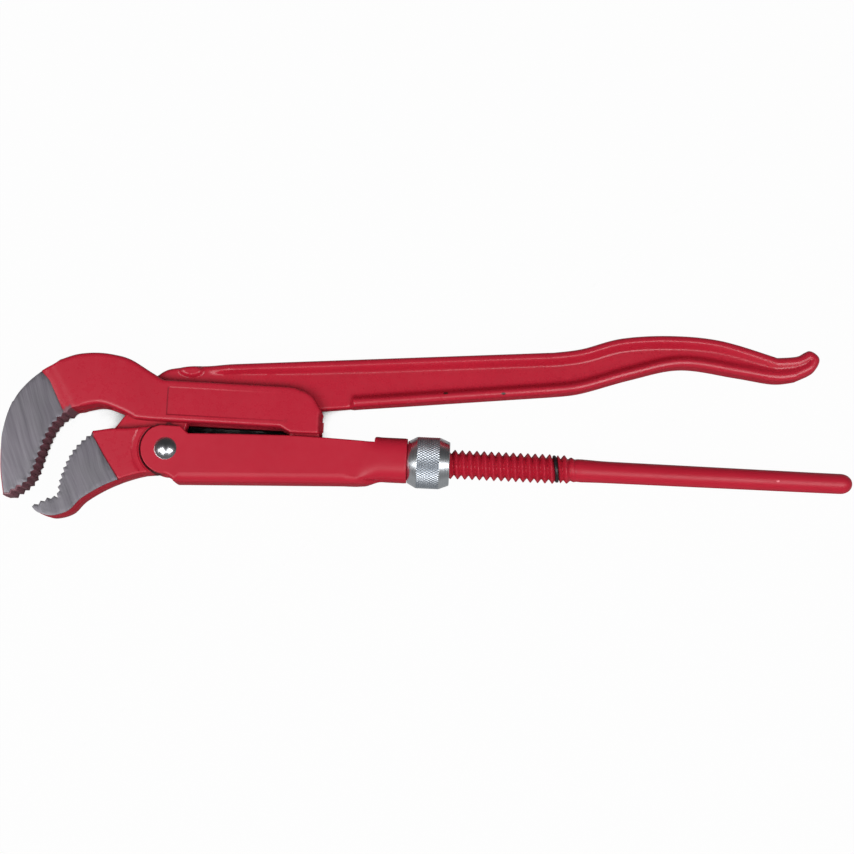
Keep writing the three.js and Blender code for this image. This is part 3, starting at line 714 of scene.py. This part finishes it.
# The slot that the jaw lever's web runs through, open above and behind.
slot_corners = [(-36.06, 0), (-34.18, 13.6), (-21.4, 36.3), (-13.4, 60), (SHANK_REAR + 10, 60),
                (SHANK_REAR + 10, BRIDGE_TOP), (FOOT_FRONT, BRIDGE_TOP), (FOOT_FRONT, -10), (-36.06, -10)]
combine(hook_body, prism("cutter", slot_corners, -SLOT_HALF, SLOT_HALF), "DIFFERENCE")


def rounded_section(half, low, high, r_low, r_high):
    """Corners of an upright rounded rectangle as (y, z)."""
    out = []
    for y, side, r, first in ((high - r_high, 1, r_high, 0), (low + r_low, 1, r_low, 90),
                              (low + r_low, -1, r_low, 180), (high - r_high, -1, r_high, 270)):
        for turn in range(first, first + 91, 15):
            angle = radians(turn)
            out.append((y + r * cos(angle), side * (half - r) + r * sin(angle)))
    return out


def loft(name, stations):
    """A body through matching cross-sections, each (x, [(y, z), ...])."""
    points = [(x, y, z) for x, section in stations for y, z in section]
    return face_out(new_object(name, points, tube(len(stations), len(stations[0][1]))))


FOOT_STATIONS = (  # x, half width, lowest y, how far the top is below the bridge, lower radius
    (FOOT_FRONT, 6.4, -6.2, 0.7, 4.6),
    (FOOT_FRONT + 0.3, 6.8, -6.7, 0.2, 4.8),
    (FOOT_FRONT + 1, 7.0, -7.0, 0, 5),
    (SHANK_REAR - 1, 7.0, -7.0, 0, 5),
    (SHANK_REAR - 0.25, 6.8, -6.8, 0.2, 4.9),
    (SHANK_REAR, 6.3, -6.3, 0.7, 4.6),
)
foot = loft("foot", [(x, rounded_section(half, low, BRIDGE_TOP - drop, radius, 0.4))
                     for x, half, low, drop, radius in FOOT_STATIONS])
combine(hook_body, foot, "UNION")
FLAT_FACE = 8  # what is further than this from the middle plane is on a flat side


def tooth_wall(line):
    """Painted shade and wear on the walls of a row of teeth."""
    path = np.array([line[0]] + smooth(line, 1.0))

    def value(points):
        gap, _ = distance(points[:, :2], path, closed=False)
        return 0.45 * (gap < 1.9)
    return value


def hook_painted_shade(points):
    """Painted shade on the teeth's walls, and along the panel's left and lower edge."""
    x, y = points[:, 0], points[:, 1]
    left, low = x - PANEL[0], panel_y(x, y) - PANEL[2]
    beside = (low > -0.3) & (low < PANEL[3] - PANEL[2])
    on_edge = np.where(left < 0.3, (np.abs(left) < 0.3) & beside, np.abs(low) < 0.3)
    faint = 0.5 * (1 - 0.6 * ease(x / 40)) * (x < PANEL[1])
    on_edge &= np.abs(points[:, 2]) > FLAT_FACE
    return np.maximum(tooth_wall(HOOK_FLANK)(points), faint * on_edge)


finish(hook_body, "hook_lever", RED, ["hook_lever"],
       painted_shade=hook_painted_shade, wear=tooth_wall(HOOK_FLANK))


def ground_plate(name, shape, line, half, inset, body):
    """The bare ground sides of a jaw: a thin plate on each side, to the right of a line across it.
    inset(outline) is how far the plates stay inside the jaw's outline."""
    loop, _, _ = shape
    loop = loop - outward(loop) * inset(loop)[:, None]
    keep = side_of(loop, line) < 0
    start = int(np.argmax(keep & ~np.roll(keep, 1)))
    loop, keep = np.roll(loop, -start, 0), np.roll(keep, -start)
    run = loop[:int(np.argmin(keep))]
    cut = np.array([line[0]] + straight(line, 1.0))
    ends = [np.argmin(norm(cut - run[k], axis=1)) for k in (0, -1)]
    across = cut[ends[1]:ends[0] + 1] if ends[1] < ends[0] else cut[ends[0]:ends[1] + 1][::-1]
    region = np.concatenate([run, across[1:-1]])
    if clockwise(region):
        region = region[::-1].copy()
    plate_shape = region, np.full(len(region), 0.15), np.zeros(len(region))
    made = forging(name, plate_shape, lambda points: np.full(len(points), half),
                   spacing=2.2, floor=half - 0.6)
    mesh = made.data
    points = np.array([v.co for v in mesh.vertices])
    faces = [tuple(p.vertices) for p in mesh.polygons]
    mirrored = [tuple(i + len(points) for i in face[::-1]) for face in faces]
    bpy.data.objects.remove(made)
    made = face_out(new_object(name, np.concatenate([points, points * (1, 1, -1)]), faces + mirrored))
    finish(made, body, GROUND)


def hook_inset(loop):
    left_edge = (loop[:, 0] < -70) & (loop[:, 1] < 4)
    return 0.06 + 0.75 * left_edge * ease((4 - loop[:, 1]) / 12) + 0.35 * (loop[:, 1] > 20)


ground_plate("hook_jaw_ground_sides", hook_shape, HOOK_GROUND, HEAD_HALF, hook_inset, "hook_lever")

# ---- Threaded rod and lower handle
THREAD_END = RING_X + 10.2
DOME_LENGTH = 6.2  # of the rod's round end
RING_TILT = tan(radians(8))  # of the ring and its groove, whose upper edge (+Y) leans to the front


def thread_shape(turns):
    """0 in the root and 1 on the crest of a rounded thread, for a place along it in turns."""
    ridge = 1 - np.abs((turns + 0.5) % 1 - 0.5) * 2
    return 0.55 * ridge + 0.45 * (0.5 - 0.5 * np.cos(pi * ridge))


# Radii of the rod without its thread, as (x, radius).
CORE = [(73, 7.0), (79, 6.6), (THREAD_START - 3, 6.4), (THREAD_START, 5.4), (THREAD_END - 2, 5.4),
        (THREAD_END + 3, 5.75), (THREAD_END + 14, 5.4), (ROD_END - DOME_LENGTH, 5.0)]


def rod_radius(x, angle):
    """The rod with its thread, the ring's groove (its seat) and the round end."""
    core = np.interp(x, *zip(*CORE))
    envelope = ease((x - THREAD_START + 1) / 4) * (1 - ease((x - RING_X - 3.2) / 9.5))
    turns = (x - THREAD_START) / PITCH - angle / (2 * pi)
    crest = ROOT_R + (CREST_R - ROOT_R) * thread_shape(turns)
    seat = np.abs(x - RING_X - 0.5 + RING_TILT * CREST_R * np.cos(angle))
    crest = np.minimum(crest, ROOT_R + 0.15 + 1.6 * ease((seat - 0.9) / 1.0) + 3 * (seat > 1.9))
    radius = core + (np.maximum(crest, ROOT_R) - core) * envelope
    dome = np.clip((x - (ROD_END - DOME_LENGTH)) / DOME_LENGTH, 0, 1)
    return radius * np.sqrt(np.maximum(1 - dome**2.2, 0))


def round_grid(name, stations, segments, radius, sag=((0, 0), (1, 0))):
    """A closed round body along X whose radius depends on the place and the angle. sag lists
    (place, how far the body is off the axis along +Y)."""
    angle = 2 * pi * np.arange(segments) / segments
    points = []
    for x in stations:
        r = radius(np.full(segments, x), angle)
        points.append(np.stack([np.full(segments, x), r * np.cos(angle), r * np.sin(angle)], 1))
    points = np.concatenate(points)
    points[:, 1] += np.interp(points[:, 0], *zip(*sag))
    first, last = len(points), len(points) - segments
    points = np.concatenate([points, [[stations[0], 0, 0], [stations[-1], 0, 0]]])
    faces = skin(len(stations), segments)
    for k, n in pairs(segments):
        faces += [(first, n, k), (first + 1, last + k, last + n)]
    return face_out(new_object(name, points, faces))


rod_stations = np.concatenate([
    np.linspace(73.3, THREAD_START - 2, 8),
    np.arange(THREAD_START - 1, THREAD_END + 4, 0.26),
    np.arange(THREAD_END + 5, ROD_END - 8, 4.0),
    ROD_END - DOME_LENGTH * (1 - np.sin(np.radians(np.linspace(0, 89.2, 16)))),
])
ROD_SAG = ((100, 0), (150, -0.12), (RING_X, -0.12), (RING_X + 25, -0.5), (320, -0.85))
rod = round_grid("threaded_rod_and_lower_handle", rod_stations, 96, rod_radius, ROD_SAG)
finish(rod, "hook_lever", RED_SATIN, ["hook_lever"], sharp=60, sides=0.3)

# ---- Stop ring
RING_TURNS, RING_SIDES, RING_WIRE, RING_MIDDLE = 72, 20, 0.9, 5.95
ring_points = []
for a in 2 * pi * np.arange(RING_TURNS) / RING_TURNS:
    for b in 2 * pi * np.arange(RING_SIDES) / RING_SIDES:
        r = RING_MIDDLE + RING_WIRE * cos(b) * 0.95
        x = RING_X + 0.5 + RING_WIRE * sin(b) - RING_TILT * r * cos(a)
        ring_points.append((x, r * cos(a), r * sin(a)))
wrapped = np.array(skin(RING_TURNS + 1, RING_SIDES)) % len(ring_points)
ring = face_out(new_object("rubber_stop_ring", ring_points, wrapped))
finish(ring, "hook_lever", RUBBER, ["stop_ring"], sharp=80)

# ---- Jaw lever: lower jaw
# The middle of its two rows of teeth.
JAW_FLANK = [(-38, 5.1), (-43.4, -0.2), (-46.8, -5.5), (-49.6, -12.5), (-51.2, -19.4), (-51.6, -26.3)]
JAW_LIP = [(-51.6, -26.3), (-55.3, -26.9), (-58.7, -28.6), (-64, -31.8)]
jaw_shape = outline(
    (-8.5, 11.2),
    ("curve", 1.2, 0.2, [(-18.4, 9.8), (-27.3, 9.3)]),
    ("line", 0.9, 0.2, [(-36.7, 7.4)]),
    ("teeth", 0.12, 0, tooth_corners(JAW_FLANK, 11) + tooth_corners(JAW_LIP, 4) + [JAW_LIP[-1]]),
    ("curve", 0.7, 0.25, [(-61, -34.3), (-54.5, -35.9), (-46, -33.1), (-39.4, -26.2), (-27, -18.5),
                          (-12.2, -12.9), (0, -EYE_R)]),
    ("line", 0.1, 0, [(0, 0), (-8.5, 11.2)]),
)
JAW_GROUND = [(-39.5, 9.5), (-37, 5.2), (-34.9, 2.3), (-30.1, -5.4), (-25.8, -11.6), (-23.3, -15.2),
              (-21.5, -18.5)]  # the edge of the ground sides
BEVEL = 0.7  # beside the ground sides
# Round steps about the rivet, from the eye up to the jaw's full thickness.
STEP_R = [12.75, 13.0, 14.0, 14.35, 16.8, 17.3]
STEP_HALF = [EYE_HALF - 0.05, 8.5, 8.65, 9.1, 9.2, JAW_HALF]


def jaw_height(points):
    """With room for the plates of the ground sides."""
    half = np.interp(np.hypot(points[:, 0], points[:, 1]), STEP_R, STEP_HALF)
    away = side_of(points, JAW_GROUND)
    step = np.interp(away, [0, BEVEL], [JAW_HALF - BEVEL, JAW_HALF])
    return np.minimum(half, np.where(away > 0, step, JAW_HALF - 0.65))


def arc(radius, angles):
    return [(radius * cos(radians(t)), radius * sin(radians(t))) for t in angles]


jaw_lines = [shift(JAW_GROUND, 0.02), shift(JAW_GROUND, -0.02), shift(JAW_GROUND, BEVEL)]
jaw_lines += [arc(r, range(118, 283, 4)) for r in STEP_R + [13.45, 13.6]]
lower_jaw = forging("lower_jaw", jaw_shape, jaw_height, jaw_lines, spacing=1.3, rings=(0.6,))

# ---- Jaw lever: web and upper handle
def from_end(*points):
    """Points along the handle's curved end, from (distance before the end, height)."""
    return [(HANDLE_END - back, y) for back, y in points]


FAR = HANDLE_END - 133  # where the straight edges end
FRONT_TOP, FAR_TOP = 43.4, 58.1
REAR_LOW, FAR_LOW = 23.5, 36.4
SERPENT_TOP = from_end((119, 60.6), (99.4, 66.8), (74.5, 69.3), (49.4, 67.9), (21.5, 60.7))
SERPENT_TIP = from_end((11.6, 61.9), (5.2, 65), (0, 61), (2.7, 54.4), (11, 49.7))
SERPENT_LOW = from_end((22.2, 48.2), (41.1, 50.5), (68.7, 53.2), (93.5, 47), (118.2, 38.9),
                       (133, FAR_LOW))
LOWER_RIM_X = 89.5  # where the lower rim starts


def lower_edge(x):
    """The height of the handle's straight lower edge."""
    return REAR_LOW + (FAR_LOW - REAR_LOW) * (x - SHANK_REAR) / (FAR - SHANK_REAR)


lever_shape = outline(
    (8.5, 8.5),
    ("line", 0.5, 0, [(0, -6), (-20, 4), (-27.3, 9.3)]),
    ("line", 1.0, 0.2, [(-22.6, 16.1), (-7.6, 37.3)]),
    ("curve", 1.6, 0.25, [(-1.3, FRONT_TOP - 2.3), (13.6, FRONT_TOP)]),
    ("line", 2.2, 0.3, [(FAR, FAR_TOP)]),
    ("curve", 2.3, 0.3, SERPENT_TOP),
    ("curve", 2.9, 0.3, SERPENT_TIP),
    ("curve", 2.3, 0.3, SERPENT_LOW),
    ("line", 2.2, 0.3, [(LOWER_RIM_X + 1, lower_edge(LOWER_RIM_X + 1))]),
    ("line", 1.2, 0.2, [(SHANK_REAR, REAR_LOW), (18, 22.8), (10.5, 19.5), (8.5, 8.5)]),
)
rim_line = [(13.6, FRONT_TOP), (FAR, FAR_TOP)]  # round the handle's outline
for part in (SERPENT_TOP, SERPENT_TIP, SERPENT_LOW):
    rim_line += smooth([rim_line[-1]] + part)
rim_line.append((LOWER_RIM_X, lower_edge(LOWER_RIM_X)))
HANDLE_MIDDLE = [(13, 30), (LOWER_RIM_X, 37), (FAR, 47.2)]
HANDLE_MIDDLE += from_end((100, 56.5), (70, 61), (20, 54.5), (0, 57))
RIM_RISE = 2.2  # the length over which the lower rim rises
LUG = (9.5, 40.4, 7.0, 3.4)  # an oval boss on the web: middle, half length and half height


def lever_height(points):
    x, y = points[:, 0], points[:, 1]
    web = WEB_HALF - 0.9 * ease((x - 80) / 25)
    rim, _ = distance(points, rim_line, closed=False)
    low_side = y < np.interp(x, *zip(*HANDLE_MIDDLE))
    fade = np.where(low_side, ease((x - LOWER_RIM_X) / RIM_RISE), ease((x - 17) / 14))
    crest, foot = 3.2, 6.9 - 1.6 * (1 - ease((x - 20) / 60))
    fall = 1 - ease((rim - crest) / (foot - crest))
    web = web + 2.7 * ease((x - (HANDLE_END - 85)) / 70)
    half = web + (HANDLE_HALF - web) * fall * fade
    q = np.hypot((x - LUG[0]) / LUG[2], (y - LUG[1]) / LUG[3])
    lug = WEB_HALF + 1.8 * ease((1 - q) * LUG[3] / 1.5)
    return np.maximum(half, np.where(x < 24, lug, 0))


lever_lines = [[(LUG[0] + (LUG[2] - grow) * cos(t), LUG[1] + (LUG[3] - grow) * sin(t))
                for t in np.linspace(pi, 2 * pi, 30)] for grow in (0, 0.7, 1.5)]
lever_lines += [[(x, 20), (x, 36)] for x in (LOWER_RIM_X, LOWER_RIM_X + RIM_RISE)]
jaw_lever = forging("jaw_lever_body", lever_shape, lever_height, lever_lines,
                    spacing=1.4, rings=(0.5, 1.0, 1.6, 2.2, 2.8, 3.4, 4.1, 4.9))
half_eye = [(EYE_HALF - 0.4, EYE_R), (EYE_HALF, EYE_R - 0.4), (EYE_HALF, 0)]
eye = turned("eye", [(-z, r) for z, r in half_eye[::-1]] + half_eye, 96, "Z")
combine(jaw_lever, lower_jaw, "UNION")
combine(jaw_lever, eye, "UNION")
drill_pivot(jaw_lever)


def jaw_teeth(points):
    return np.maximum(tooth_wall(JAW_FLANK)(points), tooth_wall(JAW_LIP)(points))


def jaw_painted_shade(points):
    """Painted shade on the teeth's walls, along the ground sides' edge and in the groove round the eye.
    """
    x, y, z = points.T
    away, r = side_of(points[:, :2], JAW_GROUND), np.hypot(x, y)
    line = 0.8 * ((away > -0.3) & (away < 0.55) & (np.abs(z) > FLAT_FACE) & (x < -20))
    groove = 1.0 * ((r > 12.2) & (r < 13.5) & (np.abs(z) < 8.7) & (x < 6))
    return np.maximum.reduce([jaw_teeth(points), line, groove])


finish(jaw_lever, "jaw_lever", RED, ["jaw_lever"], painted_shade=jaw_painted_shade, wear=jaw_teeth)


def jaw_inset(loop):
    below = (loop[:, 1] < -15) & (loop[:, 0] > -60) & ~((loop[:, 0] < -50) & (loop[:, 1] > -29))
    return 0.06 + 0.2 * below


ground_plate("lower_jaw_ground_sides", jaw_shape, JAW_GROUND, JAW_HALF - 0.45, jaw_inset, "jaw_lever")

# ---- Guide housing
COLLAR_START = COLLAR_END - 16.2
COLLAR_R = 11.0
COLLAR_RISE = 0.5  # of the collar's middle over the rod's axis
CHEEK_R = 12.4
BOTTOM = HOUSING[0][1]
FLOOR_R = 4.6  # radius of the two lower edges
CHANNEL_END = COLLAR_START - 15
top_of_collar = COLLAR_RISE + COLLAR_R - 0.02
foot_of_collar = COLLAR_RISE - COLLAR_R + 0.02
cheek = arc(CHEEK_R, np.linspace(degrees(atan2(10.8, -7.7)), 270, 40))
low_front, low_rear = np.array((5.8, BOTTOM - 0.35)), np.array((COLLAR_START - 4, -12.7))
housing_shape = outline(
    (61, 9.5),
    ("line", 0.7, 0.1, [(32, 8.9), (10.7, 8.2)]),
    ("curve", 0.7, 0.1, [(9.4, 9.2), (8.1, 10.5), (6.6, 11.6)]),
    ("line", 0.7, 0.1, [(-3.3, 11.7)]),
    ("line", 0.4, 0.05, cheek),
    ("curve", 1.5, 0.1, [(3.2, -14.2), (4.4, -15.6)]),
    ("line", FLOOR_R, 0.1, [low_front, low_front + 0.9 * (low_rear - low_front)]),
    ("line", 3.2, 0.1, [low_rear]),
    ("curve", 1.2, 0.05, [(COLLAR_START + 1.5, -11.2), (COLLAR_START + 4.5, foot_of_collar)]),
    ("line", 0, 0, [(COLLAR_END, foot_of_collar)]),
    ("line", 1.0, 0, [(COLLAR_END, top_of_collar)]),
    ("line", 0, 0, [(COLLAR_START + 1.8, top_of_collar)]),
    ("curve", 0, 0, [(COLLAR_START + 0.5, top_of_collar - 0.5), (COLLAR_START, 10.0),
                     (COLLAR_START - 0.1, 8.3)]),
    ("line", 0.7, 0.1, [(COLLAR_START - 25, 9.2), (61, 9.5)]),
)


def housing_height(points):
    """Flat cheeks that turn into the round collar."""
    x, y = points[:, 0], points[:, 1]
    round_half = COLLAR_R * np.cbrt(np.maximum(1 - np.abs((y - COLLAR_RISE) / COLLAR_R)**3, 0))
    blend = ease((x - COLLAR_START + 9) / 14)
    return HOUSING_HALF + (round_half - HOUSING_HALF) * blend


housing = forging("guide_housing_body", housing_shape, housing_height,
                  rings=(0.06, 0.25, 0.6, 1.1, 1.8, 2.6))
rise = atan2(2.4, 60)  # the channel's floor follows the housing's lower side
channel = [(x * cos(rise) - y * sin(rise), x * sin(rise) + y * cos(rise))
           for x, y in ((-40, -12.5), (CHANNEL_END, -12.5), (CHANNEL_END, 40), (-40, 40))]
combine(housing, prism("cutter", channel, -CHANNEL_HALF, CHANNEL_HALF), "DIFFERENCE")
x0, x1 = COLLAR_END - 3, SPIGOT_END
combine(housing, turned("spigot", [(x0, 0), (x0, 9), (x1 - 0.3, 9), (x1, 8.7), (x1, 0)]), "UNION")
x0, x1 = CHANNEL_END - 4, SPIGOT_END + 5
combine(housing, turned("cutter", [(x0, 0), (x0, BORE_R), (x1, BORE_R), (x1, 0)]), "DIFFERENCE")
drill_pivot(housing)
finish(housing, "housing", RED_SATIN, ["guide_housing"])

# ---- Pivot rivet
HEAD_R = RIVET[1][0]
FACE = HOUSING_HALF + 0.05
DOME = RIVET[1][2] - FACE
BALL = (HEAD_R**2 + DOME**2) / (2 * DOME)  # radius of the domed face
RIM = FACE + 0.12
head = [(FACE + DOME - BALL + BALL * cos(t), BALL * sin(t))
        for t in np.linspace(asin(HEAD_R / BALL) * 0.97, 0, 16)]
head = [(FACE, HEAD_R), (RIM, HEAD_R)] + [(z, r) for z, r in head if z > RIM]
rivet = turned("pivot_rivet_domed", [(-z, r) for z, r in head[::-1]] + [(-FACE, 4.2), (FACE, 4.2)] + head,
               64, "Z")
finish(rivet, "housing", BRIGHT, ["pivot_rivet"], sharp=30)

# ---- Adjusting nut
KNURL_STARTS = 62
KNURL_FRONT, KNURL_REAR = NUT_FRONT + 4.5, NUT_REAR - 5.0
NUT_SIDE = [(NUT_FRONT, 10.25), (NUT_FRONT + 0.25, 10.5), (KNURL_FRONT, NUT_R - 0.1),
            (KNURL_REAR, NUT_R - 0.1), (NUT_REAR - 0.3, 10.9), (NUT_REAR, 10.6)]


def knurl(x, angle):
    """How deep in a crossed groove a place on the nut is, and 1 inside the knurled band."""
    lead = (x - KNURL_FRONT) / (2 * pi * NUT_R / KNURL_STARTS) * 0.6
    turns = angle * KNURL_STARTS / (2 * pi)
    gaps = [np.abs((turns + slant + 0.5) % 1 - 0.5) for slant in (lead, -lead)]
    band = np.clip((x - KNURL_FRONT) / 0.3, 0, 1) * np.clip((KNURL_REAR - x) / 0.3, 0, 1)
    return 1 - np.minimum(*gaps) * 2, band


def nut_radius(x, angle):
    depth, band = knurl(x, angle)
    return np.interp(x, *zip(*NUT_SIDE)) + band * (0.08 - 0.3 * depth)


def nut_painted_shade(points):
    """Painted shade in the grooves of the knurl, on the outside only."""
    x, y, z = points.T
    depth, band = knurl(x, np.arctan2(z, y))
    return np.clip(depth * 2.6 - 1.3, 0, 1) * band * (np.hypot(y, z) > NUT_R - 0.8)


nut_stations = np.concatenate([
    [NUT_FRONT, NUT_FRONT + 0.25], np.arange(KNURL_FRONT, KNURL_REAR + 0.05, 0.15),
    [KNURL_REAR + 0.08, NUT_REAR - 0.3, NUT_REAR],
])
nut = round_grid("knurled_nut", nut_stations, KNURL_STARTS * 8, nut_radius)
# Wide over the housing's spigot, then narrow over the thread, with a chamfer at the rear.
bore = [(NUT_FRONT - 1, 0), (NUT_FRONT - 1, 9.3), (SPIGOT_END + 0.3, 9.3), (SPIGOT_END + 0.3, BORE_R),
        (NUT_REAR - 0.8, BORE_R), (NUT_REAR + 0.1, 8.4), (NUT_REAR + 1, 8.4), (NUT_REAR + 1, 0)]
combine(nut, turned("cutter", bore), "DIFFERENCE")
finish(nut, "nut", ZINC, ["adjusting_nut"], sharp=20, painted_shade=nut_painted_shade,
       wear=lambda points: knurl(points[:, 0], 0)[1])

# ---- CAD pieces that stay, with their own materials
for node, material in (("leaf_spring", BLUED), ("nut_snap_ring", BLUED), ("spring_rivet", BRIGHT)):
    mesh = frame["nodes"][node].data
    for name in ("edge", "hollow", "painted_shade", "wear"):
        put(mesh, name, np.zeros(len(mesh.vertices)))
    mesh.materials.clear()
    mesh.materials.append(material)

# ---- Floor, light and camera
floor = new_object("floor", [(-6, -6, 0), (6, -6, 0), (6, 6, 0), (-6, 6, 0)], [(0, 1, 2, 3)])
floor_material = bpy.data.materials.new("pale_floor")
graph = Graph(floor_material)
# The floor glows white where it is seen or mirrored, and keeps a shadow close under the wrench.
paths = graph.node("LightPath").outputs
seen = graph.math("ADD", paths["Is Camera Ray"], paths["Is Glossy Ray"])
seen = graph.math("ADD", seen, paths["Is Transmission Ray"])
occlusion = graph.node("AmbientOcclusion", {"Distance": 0.045}, samples=64, only_local=False)
open_sky = occlusion.outputs["AO"]  # 1 where nothing stands over the floor
seen = graph.math("MULTIPLY", graph.mapped(open_sky, 0.35, 0.8, 0, 0.94), seen)
# Where the occlusion is high, the glow fades and the floor's colour goes dark: a painted shadow.
direct = graph.math("MULTIPLY", graph.mapped(open_sky, 0.145, 0.2, 0, 0.975), paths["Is Camera Ray"])
share = graph.math("MAXIMUM", seen, direct)
grey = graph.mix(graph.mapped(open_sky, 0.1, 0.22), rgb(0.01, 0.01, 0.01), rgb(0.42, 0.42, 0.42))
plain = graph.node("BsdfDiffuse", {"Color": grey}).outputs[0]
glow = graph.mapped(paths["Is Camera Ray"], 0, 1, 0.3, 1)
white = graph.node("Emission", {"Color": rgb(1, 1, 1), "Strength": glow}).outputs[0]
both = graph.node("MixShader", {0: share, 1: plain, 2: white}).outputs[0]
graph.tree.links.new(both, graph.node("OutputMaterial").inputs[0])
floor.data.materials.append(floor_material)

# The camera sees a white world; the wrench is lit by a dim one, brighter towards -Y.
world = bpy.data.worlds.new("studio")
bpy.context.scene.world = world
graph = Graph(world)
paths = graph.node("LightPath").outputs
direction = graph.node("TexCoord").outputs["Generated"]
parts = graph.node("SeparateXYZ", {0: direction}).outputs
low = graph.mapped(parts["Z"], 0.1, 0.95, 0.22, 0.17)
shade = graph.math("MULTIPLY", low, graph.mapped(parts["Y"], -0.6, 0.6, 1.0, 0.35))
studio = graph.node("Background", {"Strength": shade}).outputs[0]
open_white = graph.node("Background", {"Color": rgb(1, 1, 1), "Strength": 1.0}).outputs[0]
mixed = graph.node("MixShader", {0: paths["Is Camera Ray"], 1: studio, 2: open_white}).outputs[0]
graph.tree.links.new(mixed, graph.node("OutputWorld").inputs[0])


def softbox(name, azimuth, height, size, radiance):
    """A rectangular lamp at an azimuth (0 is +X, -90 is -Y) and height in degrees, facing the part."""
    turn, lift = radians(azimuth), radians(height)
    place = Vector((cos(turn) * cos(lift), sin(turn) * cos(lift), sin(lift))) * LAMP_AWAY
    lamp = bpy.data.lights.new(name, "AREA")
    lamp.shape = "RECTANGLE"
    lamp.size, lamp.size_y = size
    lamp.energy = radiance * pi * size[0] * size[1]
    made = add(name, lamp)
    made.location = place
    made.rotation_euler = (-place).to_track_quat("-Z", "Y").to_euler()


LAMP_AWAY = 1.25  # metres
softbox("key_box", -146, 56, (0.95, 0.65), 4.2)
softbox("fill_box", -36, 61, (0.7, 0.6), 5.6)
softbox("front_strip", -85, 64, (1.0, 0.16), 1.0)
softbox("left_box", -165, 31, (0.36, 0.3), 2.6)
softbox("right_box", -18, 42, (0.32, 0.3), 2.8)

camera_data = bpy.data.cameras.new("camera")
camera_data.lens = 80.1
camera_data.sensor_width = 36
camera = add("camera", camera_data)
camera.location = Vector(PIVOT) + Vector((0.13459, -0.11235, 0.94046))
camera.rotation_euler = (0.138, 0.0001, 0.0469)
bpy.context.scene.camera = camera
bpy.context.scene.view_settings.view_transform = "Standard"
